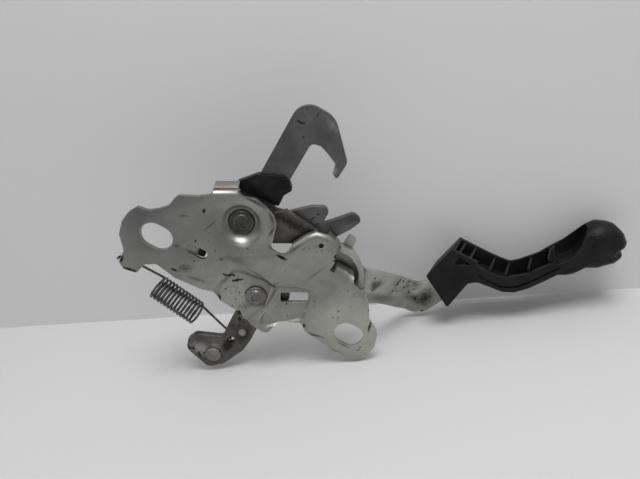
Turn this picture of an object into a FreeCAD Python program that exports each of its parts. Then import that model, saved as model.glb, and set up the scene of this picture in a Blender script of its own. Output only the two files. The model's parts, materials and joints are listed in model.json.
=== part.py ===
"""Hood latch: a pressed base plate with a throat, a sprung catch, a safety hook and a hand lever.

Frame in millimetres: X runs from the left mounting slot to the right one, Z runs up the throat in
the way the striker leaves it, and Y runs from the plate's front face, which is its mounting face,
to the mechanism behind it. The origin is midway between the two slots, on the mounting face.
"""
import FreeCAD
import Part
import math
import os

from FreeCAD import Placement, Rotation, Vector

doc = FreeCAD.newDocument("HoodLatch")

# Driving dimensions, in millimetres and degrees
DIMENSIONS = [
    # Base plate
    ("plate_thickness", 2.5),
    ("slot_spacing", 120.0),
    ("slot_length", 17.6),
    ("slot_width", 13.4),
    ("pad_depth", 3.0),
    ("rib_depth", 1.2),
    ("throat_width", 10.0),
    ("throat_floor", 24.5),
    ("lip_depth", 5.2),
    ("tab_depth", 9.4),
    ("tab_lean", 2.8),
    ("flap_depth", 11.0),
    ("bend_radius", 3.2),
    ("window_length", 15.4),
    ("window_height", 6.2),
    ("louvre_length", 13.0),
    ("louvre_width", 5.8),
    ("louvre_drop", 3.8),
    ("louvre_gap", 1.3),
    # Where the three pivots stand
    ("hook_pivot_x", -24.6),
    ("hook_pivot_z", 29.0),
    ("catch_pivot_x", 2.8),
    ("catch_pivot_z", -6.4),
    ("lever_pivot_x", 38.5),
    ("lever_pivot_z", 20.5),
    # Pivots and their hardware
    ("pivot_diameter", 8.0),
    ("running_clearance", 0.06),
    ("face_gap", 0.1),
    ("hook_head_diameter", 13.4),
    ("catch_head_diameter", 12.0),
    ("head_height", 1.9),
    ("rear_head_diameter", 11.6),
    ("washer_diameter", 15.0),
    ("washer_thickness", 1.4),
    ("slip_washer_thickness", 0.3),
    ("bush_wall", 0.9),
    ("dish_radius", 12.6),
    ("dish_floor_radius", 7.9),
    # Layers behind the plate
    ("catch_thickness", 4.0),
    ("hook_face", 11.5),
    ("hook_thickness", 3.5),
    ("lever_face", 12.0),
    ("lever_thickness", 3.0),
    # Hook sleeve
    ("sleeve_wall", 1.4),
    ("sleeve_clearance", 0.05),
    # Coil spring of the catch
    ("coil_outer_diameter", 14.6),
    ("coil_wire", 1.35),
    ("coil_turns", 12.83),
    ("coil_length", 29.4),
    ("coil_lean", 4.0),
    # Torsion springs of the hook and the lever
    ("torsion_wire", 1.6),
    ("torsion_turns", 2.0),
    # Cable stud
    ("stud_neck_diameter", 6.4),
    ("stud_head_diameter", 9.0),
    ("stud_reach", 7.0),
    # Hand lever and its grip
    ("arm_reach", 63.5),
    ("arm_sweep", 34.0),
    ("rim_height", 5.0),
    ("tongue_drop", 4.5),
    ("grip_ahead", 15.5),
    ("grip_depth", 22.0),
    ("grip_wall", 2.4),
    ("grip_rib", 1.6),
    ("bead_groove", 1.2),
    ("grip_lean_x", 9.5),
    ("grip_lean_z", 5.0),
]

sheet = doc.addObject("Spreadsheet::Sheet", "Sizes")
for row, (alias, value) in enumerate(DIMENSIONS, start=1):
    sheet.set("A%d" % row, alias)
    sheet.set("B%d" % row, str(value))
    sheet.setAlias("B%d" % row, alias)
doc.recompute()
size = {alias: float(sheet.get(alias)) for alias, value in DIMENSIONS}

half_spacing = size["slot_spacing"] / 2
hook_pivot = Vector(size["hook_pivot_x"], 0, size["hook_pivot_z"])
catch_pivot = Vector(size["catch_pivot_x"], 0, size["catch_pivot_z"])
lever_pivot = Vector(size["lever_pivot_x"], 0, size["lever_pivot_z"])

# Depths worked out from the layers
pad_back = size["pad_depth"] + size["plate_thickness"]
catch_face = pad_back + size["slip_washer_thickness"]
catch_back = catch_face + size["catch_thickness"]
hook_back = size["hook_face"] + size["hook_thickness"]
lever_back = size["lever_face"] + size["lever_thickness"]
tongue_face = size["lever_face"] + size["arm_sweep"] - size["tongue_drop"]
grip_front = tongue_face - size["grip_ahead"]
torsion_pitch = size["torsion_wire"] + size["face_gap"]
spring_room = (size["torsion_turns"] + 0.3) * torsion_pitch + size["torsion_wire"]

nodes = []


def keep(thing, label):
    """Give a finished sub-part its label, which is also the name of its file."""
    thing.Label = label
    nodes.append(thing)
    return thing


def rounded(corners):
    """Closed outline of straight runs, with each corner (x, z, radius) rounded by an arc."""
    edges = []
    count = len(corners)
    starts = []
    ends = []
    middles = []
    for index in range(count):
        here = Vector(corners[index][0], corners[index][1], 0)
        before = Vector(corners[index - 1][0], corners[index - 1][1], 0) - here
        after = Vector(corners[(index + 1) % count][0], corners[(index + 1) % count][1], 0) - here
        radius = corners[index][2]
        turn = before.getAngle(after)
        reach = radius / math.tan(turn / 2)
        longest = 0.48 * min(before.Length, after.Length)
        if reach > longest:
            reach = longest
            radius = reach * math.tan(turn / 2)
        first = here + before.normalize() * reach
        last = here + after.normalize() * reach
        starts.append(first)
        ends.append(last)
        if reach > 0.02:
            halfway = (before.normalize() + after.normalize()).normalize()
            middles.append(here + halfway * (radius / math.sin(turn / 2) - radius))
        else:
            starts[index] = here
            ends[index] = here
            middles.append(None)
    for index in range(count):
        if middles[index] is not None:
            edges.append(Part.Arc(starts[index], middles[index], ends[index]))
        edges.append(Part.LineSegment(ends[index], starts[(index + 1) % count]))
    return edges


def ring(x, z, radius):
    """A circle as an outline."""
    return [Part.Circle(Vector(x, z, 0), Vector(0, 0, 1), radius)]


def slot_outline(x, z, length, width):
    """A slot with round ends that runs along X."""
    reach = (length - width) / 2
    radius = width / 2
    right_end = Part.Arc(Vector(x + reach, z - radius, 0), Vector(x + reach + radius, z, 0),
                         Vector(x + reach, z + radius, 0))
    left_end = Part.Arc(Vector(x - reach, z + radius, 0), Vector(x - reach - radius, z, 0),
                        Vector(x - reach, z - radius, 0))
    top = Part.LineSegment(Vector(x + reach, z + radius, 0), Vector(x - reach, z + radius, 0))
    bottom = Part.LineSegment(Vector(x - reach, z - radius, 0), Vector(x + reach, z - radius, 0))
    return [right_end, top, left_end, bottom]


def plane_of(body, role):
    """One of a body's own origin planes or axes."""
    for feature in body.Origin.OriginFeatures:
        if feature.Role == role:
            return feature
    raise ValueError(role)


def sketch_on(body, name, outlines, depth="0", role="XZ_Plane"):
    """A sketch in the body's plane; on XZ it lies at the given depth behind the front face."""
    sketch = body.newObject("Sketcher::SketchObject", name)
    sketch.AttachmentSupport = [(plane_of(body, role), "")]
    sketch.MapMode = "FlatFace"
    for outline in outlines:
        sketch.addGeometry(outline, False)
    sign = "-" if role == "XZ_Plane" else ""
    sketch.setExpression("AttachmentOffset.Base.z", "%s(%s)" % (sign, depth))
    return sketch


def add_slab(body, name, outlines, depth, thickness):
    """Sheet metal between two depths: the outline padded away from the front."""
    sketch = sketch_on(body, name + "_outline", outlines, depth)
    pad = body.newObject("PartDesign::Pad", name)
    pad.Profile = sketch
    pad.Reversed = True
    pad.setExpression("Length", thickness)
    body.Tip = pad
    return pad


def cut_slab(body, name, outlines, depth, thickness):
    """A hole or a clearance between two depths, cut away from the front."""
    sketch = sketch_on(body, name + "_outline", outlines, depth)
    pocket = body.newObject("PartDesign::Pocket", name)
    pocket.Profile = sketch
    pocket.Reversed = False
    pocket.setExpression("Length", thickness)
    body.Tip = pocket
    return pocket


def revolve_on_pivot(body, name, section, pivot):
    """Turn a section of (radius, depth) points about a pivot's axis, which runs along Y."""
    edges = []
    for index in range(len(section)):
        radius_a, depth_a = section[index]
        radius_b, depth_b = section[(index + 1) % len(section)]
        start = Vector(pivot.x + radius_a, depth_a, 0)
        edges.append(Part.LineSegment(start, Vector(pivot.x + radius_b, depth_b, 0)))
    sketch = sketch_on(body, name + "_section", [edges], "%f" % pivot.z, "XY_Plane")
    axis = Part.LineSegment(Vector(pivot.x, -50, 0), Vector(pivot.x, 50, 0))
    sketch.addGeometry([axis], True)
    turned = body.newObject("PartDesign::Revolution", name)
    turned.Profile = sketch
    turned.ReferenceAxis = (sketch, ["Axis0"])
    turned.Angle = 360
    body.Tip = turned
    return turned


def extruded(label, face, vector):
    """Extrude a flat face feature along a vector, as a solid."""
    base = doc.addObject("Part::Feature", label + "_face")
    base.Shape = face
    solid = doc.addObject("Part::Extrusion", label)
    solid.Base = base
    solid.DirMode = "Custom"
    solid.Dir = vector.normalize()
    solid.Solid = True
    return solid


def outline_face(corners, depth):
    """A flat face in the XZ plane at a depth, from rounded corners."""
    edges = [edge.toShape() for edge in rounded(corners)]
    wire = Part.Wire(Part.__sortEdges__(edges))
    face = Part.Face(wire)
    turn = Placement(Vector(0, depth, 0), Rotation(Vector(1, 0, 0), 90))
    face.Placement = turn
    return face


def turned_part(label, section, pivot):
    """A turned sub-part, such as a rivet, bush or washer, on a pivot's axis."""
    body = doc.addObject("PartDesign::Body", label)
    revolve_on_pivot(body, label + "_turning", section, pivot)
    return keep(body, label)


def tube_section(inner, outer, front, back):
    """Section of a plain tube, washer or bush."""
    return [(inner, front), (outer, front), (outer, back), (inner, back)]


# Base plate
def left(dx, z, radius):
    """A corner placed from the left mounting slot."""
    return (dx - half_spacing, z, radius)


def right(dx, z, radius):
    """A corner placed from the right mounting slot."""
    return (dx + half_spacing, z, radius)


def by_hook(dx, dz, radius):
    """A corner placed from the hook's pivot."""
    return (hook_pivot.x + dx, hook_pivot.z + dz, radius)


def by_catch(dx, dz, radius):
    """A corner placed from the catch's pivot."""
    return (catch_pivot.x + dx, catch_pivot.z + dz, radius)


def by_lever(dx, dz, radius):
    """A corner placed from the hand lever's pivot."""
    return (lever_pivot.x + dx, lever_pivot.z + dz, radius)


def by_grip(dx, dz, radius):
    """A corner placed from the hand lever's tongue, which the grip sits on."""
    return (lever_pivot.x + size["arm_reach"] + dx, lever_pivot.z + dz, radius)


throat_side = size["throat_width"] / 2
throat_floor = size["throat_floor"]
PLATE_OUTLINE = [
    left(-17.8, -8.6, 5), left(-19.2, -1.0, 6), left(-18.2, 5.5, 5), left(-15.4, 10.3, 1.2),
    left(-9.8, 11.2, 4), left(-5.4, 14.8, 5), left(-1.6, 19.0, 3), left(-0.2, 26.4, 4),
    by_hook(-26.0, 2.4, 5), by_hook(-21.0, 6.4, 0.6), by_hook(-20.8, 8.8, 0.4),
    by_hook(-9.7, 15.3, 0.6),
    by_hook(-5.8, 13.9, 2), by_hook(0.0, 16.1, 3), by_hook(7.3, 15.0, 4), by_hook(13.3, 12.3, 4),
    by_hook(16.2, 9.6, 3), by_hook(17.4, 5.4, 3),
    (-throat_side - 0.6, throat_floor + 4.6, 1.5), (-throat_side + 0.4, throat_floor - 0.4, 3.6),
    (throat_side - 0.4, throat_floor - 0.2, 3.6), (throat_side - 0.3, throat_floor + 8.0, 4),
    (throat_side + 3.2, throat_floor + 15.6, 5), (throat_side + 7.2, throat_floor + 20.4, 2),
    (throat_side + 14.5, throat_floor + 22.2, 1), by_lever(-11.0, 24.2, 1.5),
    by_lever(-9.0, 14.6, 1), by_lever(-9.2, 9.3, 0.8), by_lever(-6.0, 8.8, 0.8),
    by_lever(-5.8, 12.2, 0.6),
    by_lever(4.9, 12.2, 0.6), by_lever(6.8, 8.4, 1), by_lever(12.2, 7.2, 0.6),
    by_lever(13.6, 10.4, 0.8), by_lever(15.6, 7.0, 2), by_lever(21.4, 1.6, 2),
    right(4.9, 14.6, 3), right(13.7, 9.6, 5), right(17.6, 0.2, 8), right(14.2, -12.2, 6),
    right(4.5, -14.6, 6), right(-5.4, -13.2, 5), right(-22.9, -10.8, 4), right(-27.4, -7.0, 2),
    by_catch(18.0, -7.2, 2), by_catch(16.6, -15.6, 3), by_catch(13.8, -17.4, 3),
    by_catch(5.2, -15.9, 3), by_catch(0.2, -16.1, 1), by_catch(-3.6, -12.6, 1),
    by_catch(-5.6, -13.8, 1), by_catch(-16.4, -12.8, 3), by_catch(-22.2, -8.0, 2),
    by_catch(-28.5, -10.0, 4), by_catch(-44.1, -11.0, 5), left(6.4, -14.8, 4),
    left(0.9, -18.6, 2), left(-0.8, -25.3, 1.5), left(-7.7, -26.5, 2), left(-11.6, -24.2, 2),
    left(-11.9, -16.4, 3),
]


def grown(corners, middle, amount):
    """The same corners, each moved away from a middle point by a fixed amount."""
    moved = []
    for x, z, radius in corners:
        away = Vector(x - middle[0], z - middle[1], 0)
        away = away * ((away.Length + amount) / away.Length)
        moved.append((middle[0] + away.x, middle[1] + away.y, radius))
    return moved


# Recess round the catch's pivot: its floor and the foot of its slope
PAD_FLOOR = [
    by_catch(-19.6, -4.2, 2), by_catch(-17.0, 7.2, 3), by_catch(-13.2, 8.8, 2),
    by_catch(-1.2, 10.6, 3), by_catch(6.5, 9.6, 2), by_catch(6.5, -2.4, 2), by_catch(0.8, -22.0, 2),
    by_catch(-16.0, -22.0, 2),
]
PAD_MIDDLE = (catch_pivot.x - 8.5, catch_pivot.z - 4.0)
RIB_FLOOR = [
    by_catch(6.0, 11.2, 2), by_catch(16.2, 16.6, 2), by_catch(22.6, 18.6, 3),
    by_catch(25.6, 15.2, 2), by_catch(28.2, 2.0, 3), by_catch(14.0, -12.0, 2),
    by_catch(10.0, -13.0, 2),
]
RIB_MIDDLE = (catch_pivot.x + 16.0, catch_pivot.z + 4.0)


def loft_between(body, name, front_outline, front_depth, back_outline, back_depth, cut):
    """A pressed recess: a loft from a wide outline in front to a narrower one behind."""
    first = sketch_on(body, name + "_front", [front_outline], front_depth)
    second = sketch_on(body, name + "_back", [back_outline], back_depth)
    kind = "PartDesign::SubtractiveLoft" if cut else "PartDesign::AdditiveLoft"
    loft = body.newObject(kind, name)
    loft.Profile = first
    loft.Sections = [second]
    loft.Ruled = True
    body.Tip = loft
    return loft


def fold_cutter(label, start, end):
    """What is missing at the outside of a fold: a square corner less its round, along the fold."""
    radius = size["bend_radius"]
    spare = 1.0
    first = Vector(start[0], 0, start[1])
    last = Vector(end[0], 0, end[1])
    run = last - first
    outward = Vector(-run.z, 0, run.x).normalize()
    foot = first - outward * radius
    crown = first + Vector(0, radius, 0)
    centre = foot + Vector(0, radius, 0)
    halfway = centre + (outward - Vector(0, 1, 0)).normalize() * radius
    corner = [crown, crown + outward * spare, first + outward * spare - Vector(0, spare, 0),
              foot - Vector(0, spare, 0), foot]
    edges = [Part.Arc(foot, halfway, crown).toShape()]
    for index in range(len(corner) - 1):
        edges.append(Part.LineSegment(corner[index], corner[index + 1]).toShape())
    cutter = extruded(label, Part.Face(Part.Wire(Part.__sortEdges__(edges))), run.normalize())
    cutter.LengthFwd = (last - first).Length
    return cutter


def make_base_plate():
    """Pressed plate with two slots, a throat, a dish, a recess, a rib, tabs, a flap and a lug."""
    body = doc.addObject("PartDesign::Body", "base_plate_pressing")
    add_slab(body, "plate_sheet", [rounded(PLATE_OUTLINE)], "0", "Sizes.plate_thickness")
    slope = 3.4
    sheet_slope = 1.2
    loft_between(body, "pad_form", rounded(grown(PAD_FLOOR, PAD_MIDDLE, slope + sheet_slope)),
                 "Sizes.plate_thickness - 0.01", rounded(grown(PAD_FLOOR, PAD_MIDDLE, sheet_slope)),
                 "Sizes.plate_thickness + Sizes.pad_depth", False)
    loft_between(body, "pad_recess", rounded(grown(PAD_FLOOR, PAD_MIDDLE, slope)), "0",
                 rounded(PAD_FLOOR), "Sizes.pad_depth", True)
    loft_between(body, "rib_form", rounded(grown(RIB_FLOOR, RIB_MIDDLE, 2.2)),
                 "Sizes.plate_thickness - 0.01", rounded(grown(RIB_FLOOR, RIB_MIDDLE, 0.6)),
                 "Sizes.plate_thickness + Sizes.rib_depth", False)
    loft_between(body, "rib_recess", rounded(grown(RIB_FLOOR, RIB_MIDDLE, 1.6)), "0",
                 rounded(RIB_FLOOR), "Sizes.rib_depth", True)
    far = 200.0
    frame_corners = [(-far, -far, 0.1), (far, -far, 0.1), (far, far, 0.1), (-far, far, 0.1)]
    cut_slab(body, "outline_trim", [rounded(frame_corners), rounded(PLATE_OUTLINE)],
             "0", "Sizes.pad_depth + 4 * Sizes.plate_thickness")
    cut_slab(body, "dish_opening", [ring(hook_pivot.x, hook_pivot.z, size["dish_radius"])],
             "0", "Sizes.plate_thickness")
    foot = size["dish_floor_radius"]
    brim = size["dish_radius"]
    hole = size["pivot_diameter"] / 2
    plate = size["plate_thickness"]
    deep = size["pad_depth"]
    revolve_on_pivot(body, "dish", [
        (brim + 0.5, 0.0), (brim - 1.0, 0.25), (brim - 2.2, 1.0), (foot + 0.9, deep - 0.5),
        (foot, deep), (hole, deep), (hole, deep + plate), (foot + 1.6, deep + plate),
        (foot + 2.8, deep + plate - 0.6), (brim + 0.5, plate),
    ], hook_pivot)
    cut_slab(body, "catch_pivot_hole", [ring(catch_pivot.x, catch_pivot.z, hole)],
             "0", "Sizes.pad_depth + Sizes.plate_thickness + 1")
    slots = [slot_outline(-half_spacing, 0, size["slot_length"], size["slot_width"]),
             slot_outline(half_spacing, 0, size["slot_length"], size["slot_width"])]
    cut_slab(body, "mounting_slots", slots, "0", "Sizes.plate_thickness")
    # Window over the catch, seen level in the rib
    tilt = math.radians(29.5)
    along = Vector(math.cos(tilt), math.sin(tilt), 0) * (size["window_length"] / 2)
    across = Vector(-math.sin(tilt), math.cos(tilt), 0) * (size["window_height"] / 2)
    middle = Vector(catch_pivot.x + 18.4, catch_pivot.z + 11.1, 0)
    corners = [middle - along - across, middle + along - across, middle + along + across,
               middle - along + across]
    cut_slab(body, "rib_window", [rounded([(p.x, p.y, 0.8) for p in corners])], "0",
             "Sizes.plate_thickness + Sizes.rib_depth")
    # Louvre left of the recess: a slot whose metal is pushed back as a ramp
    louvre = Vector(hook_pivot.x - 13.6, hook_pivot.z - 26.1, 0)
    cut_slab(body, "louvre_slot",
             [slot_outline(louvre.x, louvre.y, size["louvre_length"], size["louvre_width"])], "0",
             "Sizes.plate_thickness")
    start = louvre.x - size["louvre_length"] / 2
    stop = louvre.x + size["louvre_length"] / 2 - size["louvre_gap"]
    drop = size["louvre_drop"]
    plan = [Vector(start - 0.4, 0.3, 0), Vector(stop, drop, 0),
            Vector(stop, drop + size["plate_thickness"] * 0.7, 0),
            Vector(start - 0.4, size["plate_thickness"], 0)]
    ramp_outline = [Part.LineSegment(plan[index - 1], plan[index]) for index in range(4)]
    ramp_sketch = sketch_on(body, "louvre_plan", [ramp_outline],
                            "%f - Sizes.louvre_width / 2" % louvre.y, "XY_Plane")
    ramp = body.newObject("PartDesign::Pad", "louvre_ramp")
    ramp.Profile = ramp_sketch
    ramp.setExpression("Length", "Sizes.louvre_width")
    body.Tip = ramp
    cut_slab(body, "small_hole", [ring(lever_pivot.x - 20.4, lever_pivot.z + 19.4, 1.5)], "0",
             "Sizes.plate_thickness")
    # Rolled lip along the throat's right side
    lip = [
        (throat_side - 0.3, throat_floor + 6.0, 2), (throat_side - 0.3, throat_floor + 8.0, 4),
        (throat_side + 3.2, throat_floor + 15.6, 5), (throat_side + 7.2, throat_floor + 20.4, 2),
        (throat_side + 8.9, throat_floor + 18.4, 1), (throat_side + 5.4, throat_floor + 14.4, 5),
        (throat_side + 2.2, throat_floor + 7.2, 4), (throat_side + 2.2, throat_floor + 6.0, 1),
    ]
    add_slab(body, "throat_lip", [rounded(lip)], "0", "Sizes.lip_depth")
    # Two tabs folded back along the top edge; the left one leans up as it goes back
    left_tab = [by_hook(-20.8, 8.8, 0.3), by_hook(-9.7, 15.3, 0.3), by_hook(-8.6, 13.4, 0.3),
                by_hook(-19.7, 6.9, 0.3)]
    right_tab = [
        (throat_side + 14.5, throat_floor + 22.2, 0.5), by_lever(-11.0, 24.2, 0.5),
        by_lever(-11.4, 21.8, 0.4), (throat_side + 14.3, throat_floor + 19.8, 0.4),
    ]
    corner_lip = [by_lever(-11.0, 24.2, 0.5), by_lever(-9.0, 14.6, 0.5), by_lever(-11.2, 14.8, 0.4),
                  by_lever(-13.2, 23.0, 0.4)]
    add_slab(body, "right_tab", [rounded(right_tab)], "0", "Sizes.tab_depth")
    add_slab(body, "corner_lip", [rounded(corner_lip)], "0", "Sizes.lip_depth")
    tab_way = Vector(-0.5 * size["tab_lean"], size["tab_depth"], 0.86 * size["tab_lean"])
    leaning_tab = extruded("left_tab", outline_face(left_tab, 0), Vector(tab_way))
    leaning_tab.LengthFwd = tab_way.Length
    # Flap folded back beside the lever's hub, its bend round on the outside
    flap = [by_lever(-5.8, 12.2, 0.4), by_lever(4.9, 12.2, 0.4), by_lever(4.9, 9.7, 0.4),
            by_lever(-5.8, 9.7, 0.4)]
    add_slab(body, "lever_flap", [rounded(flap)], "0", "Sizes.flap_depth")
    folds = [left_tab[:2], right_tab[:2], corner_lip[:2], flap[:2], lip[1:3], lip[2:4],
             [lip[3], right_tab[0]]]
    cutters = []
    for index, (start, end) in enumerate(folds):
        cutters.append(fold_cutter("fold_%d" % (index + 1), start, end))
    rounders = doc.addObject("Part::MultiFuse", "fold_rounders")
    rounders.Shapes = cutters
    tabbed = doc.addObject("Part::Fuse", "base_plate_tabbed")
    tabbed.Base = body
    tabbed.Tool = leaning_tab
    folded = doc.addObject("Part::Cut", "base_plate_folded")
    folded.Base = tabbed
    folded.Tool = rounders
    return keep(folded, "base_plate")


make_base_plate()

# Pivot rivets: a spun head in front, a shank, and a riveted head behind
shank = size["pivot_diameter"] / 2
running = shank + size["running_clearance"]
bush_outer = running + size["bush_wall"]
hook_stack_back = hook_back + size["face_gap"] + spring_room + size["face_gap"]
lever_stack_back = lever_back + size["face_gap"]
catch_stack_back = catch_back + size["face_gap"]


def rivet_section(head_radius, head_top, seat, tail_seat):
    """Section of a rivet with a ringed head in front and a domed one behind."""
    rear = size["rear_head_diameter"] / 2
    tail = tail_seat + size["head_height"]
    return [
        (0.0, head_top + 0.9), (head_radius * 0.42, head_top + 0.9), (head_radius * 0.47, head_top + 0.1),
        (head_radius * 0.66, head_top), (head_radius * 0.74, head_top + 0.5),
        (head_radius * 0.93, head_top + 0.7), (head_radius, head_top + 1.1), (head_radius, seat),
        (shank, seat), (shank, tail_seat), (rear, tail_seat), (rear, tail - 0.9), (rear - 1.0, tail - 0.2),
        (rear - 2.4, tail), (0.0, tail),
    ]


hook_washer_front = hook_stack_back
catch_washer_front = catch_stack_back
lever_washer_front = lever_stack_back
thick = size["washer_thickness"]
turned_part("hook_pivot_rivet", rivet_section(size["hook_head_diameter"] / 2,
            size["pad_depth"] - size["head_height"], size["pad_depth"], hook_washer_front + thick),
            hook_pivot)
turned_part("hook_front_bush", tube_section(shank, bush_outer, pad_back,
            size["hook_face"] - size["slip_washer_thickness"]), hook_pivot)
turned_part("hook_slip_washer", tube_section(shank, size["washer_diameter"] / 2,
            size["hook_face"] - size["slip_washer_thickness"], size["hook_face"]), hook_pivot)
turned_part("hook_rear_bush", tube_section(shank, bush_outer, hook_back + size["face_gap"],
            hook_washer_front), hook_pivot)
turned_part("hook_rear_washer", tube_section(shank, size["washer_diameter"] / 2 + 0.5,
            hook_washer_front, hook_washer_front + thick), hook_pivot)
turned_part("catch_pivot_rivet", rivet_section(size["catch_head_diameter"] / 2,
            size["pad_depth"] - size["head_height"], size["pad_depth"], catch_washer_front + thick),
            catch_pivot)
turned_part("catch_slip_washer", tube_section(shank, size["washer_diameter"] / 2, pad_back,
            catch_face), catch_pivot)
turned_part("catch_rear_washer", tube_section(shank, size["washer_diameter"] / 2,
            catch_washer_front, catch_washer_front + thick), catch_pivot)
shoulder = shank + 2.0
stud_front = size["plate_thickness"]
shoulder_back = size["lever_face"] - size["slip_washer_thickness"]
rear_radius = size["rear_head_diameter"] / 2
lever_tail = lever_washer_front + thick
turned_part("lever_pivot_stud", [
    (0.0, stud_front), (shoulder, stud_front), (shoulder, shoulder_back), (shank, shoulder_back),
    (shank, lever_tail), (rear_radius, lever_tail), (rear_radius, lever_tail + 1.0),
    (rear_radius - 1.0, lever_tail + 1.7), (rear_radius - 2.4, lever_tail + size["head_height"]),
    (0.0, lever_tail + size["head_height"]),
], lever_pivot)
turned_part("lever_slip_washer", tube_section(shank, size["washer_diameter"] / 2,
            shoulder_back, size["lever_face"]), lever_pivot)
turned_part("lever_rear_washer", tube_section(shank, size["washer_diameter"] / 2,
            lever_washer_front, lever_tail), lever_pivot)

# Catch: lower arm with the cable stud and the spring's hole, upper arm with the nose
SPRING_HOLE = (catch_pivot.x + 1.3, catch_pivot.z - 34.9)
STUD = Vector(catch_pivot.x - 3.4, 0, catch_pivot.z - 49.5)
CATCH_OUTLINE = [
    by_catch(-5.4, -15.0, 3), by_catch(-4.0, -35.6, 2.5), by_catch(-18.6, -41.8, 3.5),
    by_catch(-21.0, -47.4, 3), by_catch(-18.8, -53.8, 5), by_catch(-2.0, -59.2, 5),
    by_catch(5.2, -51.8, 4), by_catch(10.8, -38.1, 4), by_catch(11.4, -29.0, 6),
    by_catch(10.0, -8.5, 5), by_catch(17.8, 6.0, 3), by_catch(14.0, 14.6, 4),
    by_catch(2.0, 17.0, 6), (-throat_side - 0.2, throat_floor - 5.0, 3),
    (-throat_side + 0.4, throat_floor + 0.7, 1), (throat_side + 1.0, throat_floor + 6.9, 1.2),
    (throat_side + 10.6, throat_floor + 19.8, 1.4), (-throat_side - 2.3, throat_floor + 21.6, 0.6),
    (-throat_side - 2.7, throat_floor + 20.3, 0.5), (-throat_side - 7.2, throat_floor + 16.8, 1.4),
    (-throat_side - 4.9, throat_floor + 9.0, 3), (-throat_side - 5.6, throat_floor - 5.0, 5),
    by_catch(-9.4, 8.0, 6), by_catch(-9.0, -6.0, 4),
]
CATCH_OFFSET = "Sizes.pad_depth + Sizes.plate_thickness + Sizes.slip_washer_thickness"


def make_catch():
    """Thick stamped lever that closes the throat."""
    body = doc.addObject("PartDesign::Body", "catch_lever")
    add_slab(body, "catch_blank", [rounded(CATCH_OUTLINE)], CATCH_OFFSET, "Sizes.catch_thickness")
    holes = [
        ring(catch_pivot.x, catch_pivot.z, running), ring(SPRING_HOLE[0], SPRING_HOLE[1], 2.0),
        ring(STUD.x, STUD.z, size["stud_neck_diameter"] / 2),
    ]
    cut_slab(body, "catch_holes", holes, CATCH_OFFSET, "Sizes.catch_thickness")
    cut_slab(body, "catch_dimple", [ring(catch_pivot.x + 4.6, catch_pivot.z - 27.4, 2.4)],
             CATCH_OFFSET, "0.8")
    return keep(body, "catch_lever")


make_catch()
neck = size["stud_neck_diameter"] / 2
knob = size["stud_head_diameter"] / 2
turned_part("cable_stud", [
    (0.0, catch_face - 1.6), (neck - 1.0, catch_face - 1.6), (neck - 0.3, catch_face - 1.2),
    (knob - 0.6, catch_face - 0.9), (knob, catch_face - 0.4), (knob, catch_face), (neck, catch_face),
    (neck, catch_back + size["stud_reach"] - 2.0), (knob, catch_back + size["stud_reach"] - 2.0),
    (knob, catch_back + size["stud_reach"] - 0.6),
    (knob - 0.6, catch_back + size["stud_reach"]), (0.0, catch_back + size["stud_reach"]),
], STUD)

# Safety hook: hub, upright shank with the arch, and a finger that ends in a flat blade
HOOK_OUTLINE = [
    by_hook(-10.4, 9.4, 5), by_hook(-6.6, 15.0, 4), by_hook(-3.7, 21.0, 4), by_hook(-3.8, 70.8, 14),
    by_hook(15.6, 71.4, 13), by_hook(33.2, 54.4, 5), by_hook(32.9, 43.6, 1.0),
    by_hook(29.5, 45.2, 0.8), by_hook(28.3, 50.4, 3), by_hook(21.5, 53.2, 3), by_hook(16.6, 54.7, 2.5),
    by_hook(11.6, 53.6, 4), by_hook(11.6, 12.6, 1.5), by_hook(19.4, 14.8, 1.0),
    by_hook(29.0, 24.2, 6), by_hook(35.8, 27.8, 3), by_hook(38.6, 26.2, 2.0), by_hook(39.2, 18.6, 0.6),
    by_hook(50.6, 32.4, 3.5), by_hook(57.4, 31.4, 3.5), by_hook(54.0, 22.9, 2), by_hook(48.4, 13.6, 2),
    by_hook(53.4, 12.2, 1.2), by_hook(52.6, 5.6, 2.5), by_hook(44.0, 3.0, 6), by_hook(18.0, 4.6, 6),
    by_hook(10.6, -8.0, 7), by_hook(-3.0, -11.8, 9), by_hook(-11.4, -5.0, 9),
]


def make_hook():
    """Flat safety hook that turns on the front pivot."""
    body = doc.addObject("PartDesign::Body", "safety_hook")
    add_slab(body, "hook_blank", [rounded(HOOK_OUTLINE)], "Sizes.hook_face", "Sizes.hook_thickness")
    holes = [ring(hook_pivot.x, hook_pivot.z, running),
             ring(hook_pivot.x + 8.6, hook_pivot.z - 1.0, size["torsion_wire"] / 2 + 0.1)]
    cut_slab(body, "hook_holes", holes, "Sizes.hook_face", "Sizes.hook_thickness")
    return keep(body, "safety_hook")


make_hook()

# Black sleeve round the hook's shank
SLEEVE_OUTLINE = [
    by_hook(-12.3, 16.0, 1.0), by_hook(-4.8, 25.2, 1.0), by_hook(8.2, 31.6, 0.8),
    by_hook(11.6, 30.6, 1.0), by_hook(15.4, 26.8, 1.2), by_hook(12.9, 22.2, 1.0),
    by_hook(13.3, 15.4, 0.6), by_hook(-10.4, 13.2, 1.0),
]


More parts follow.
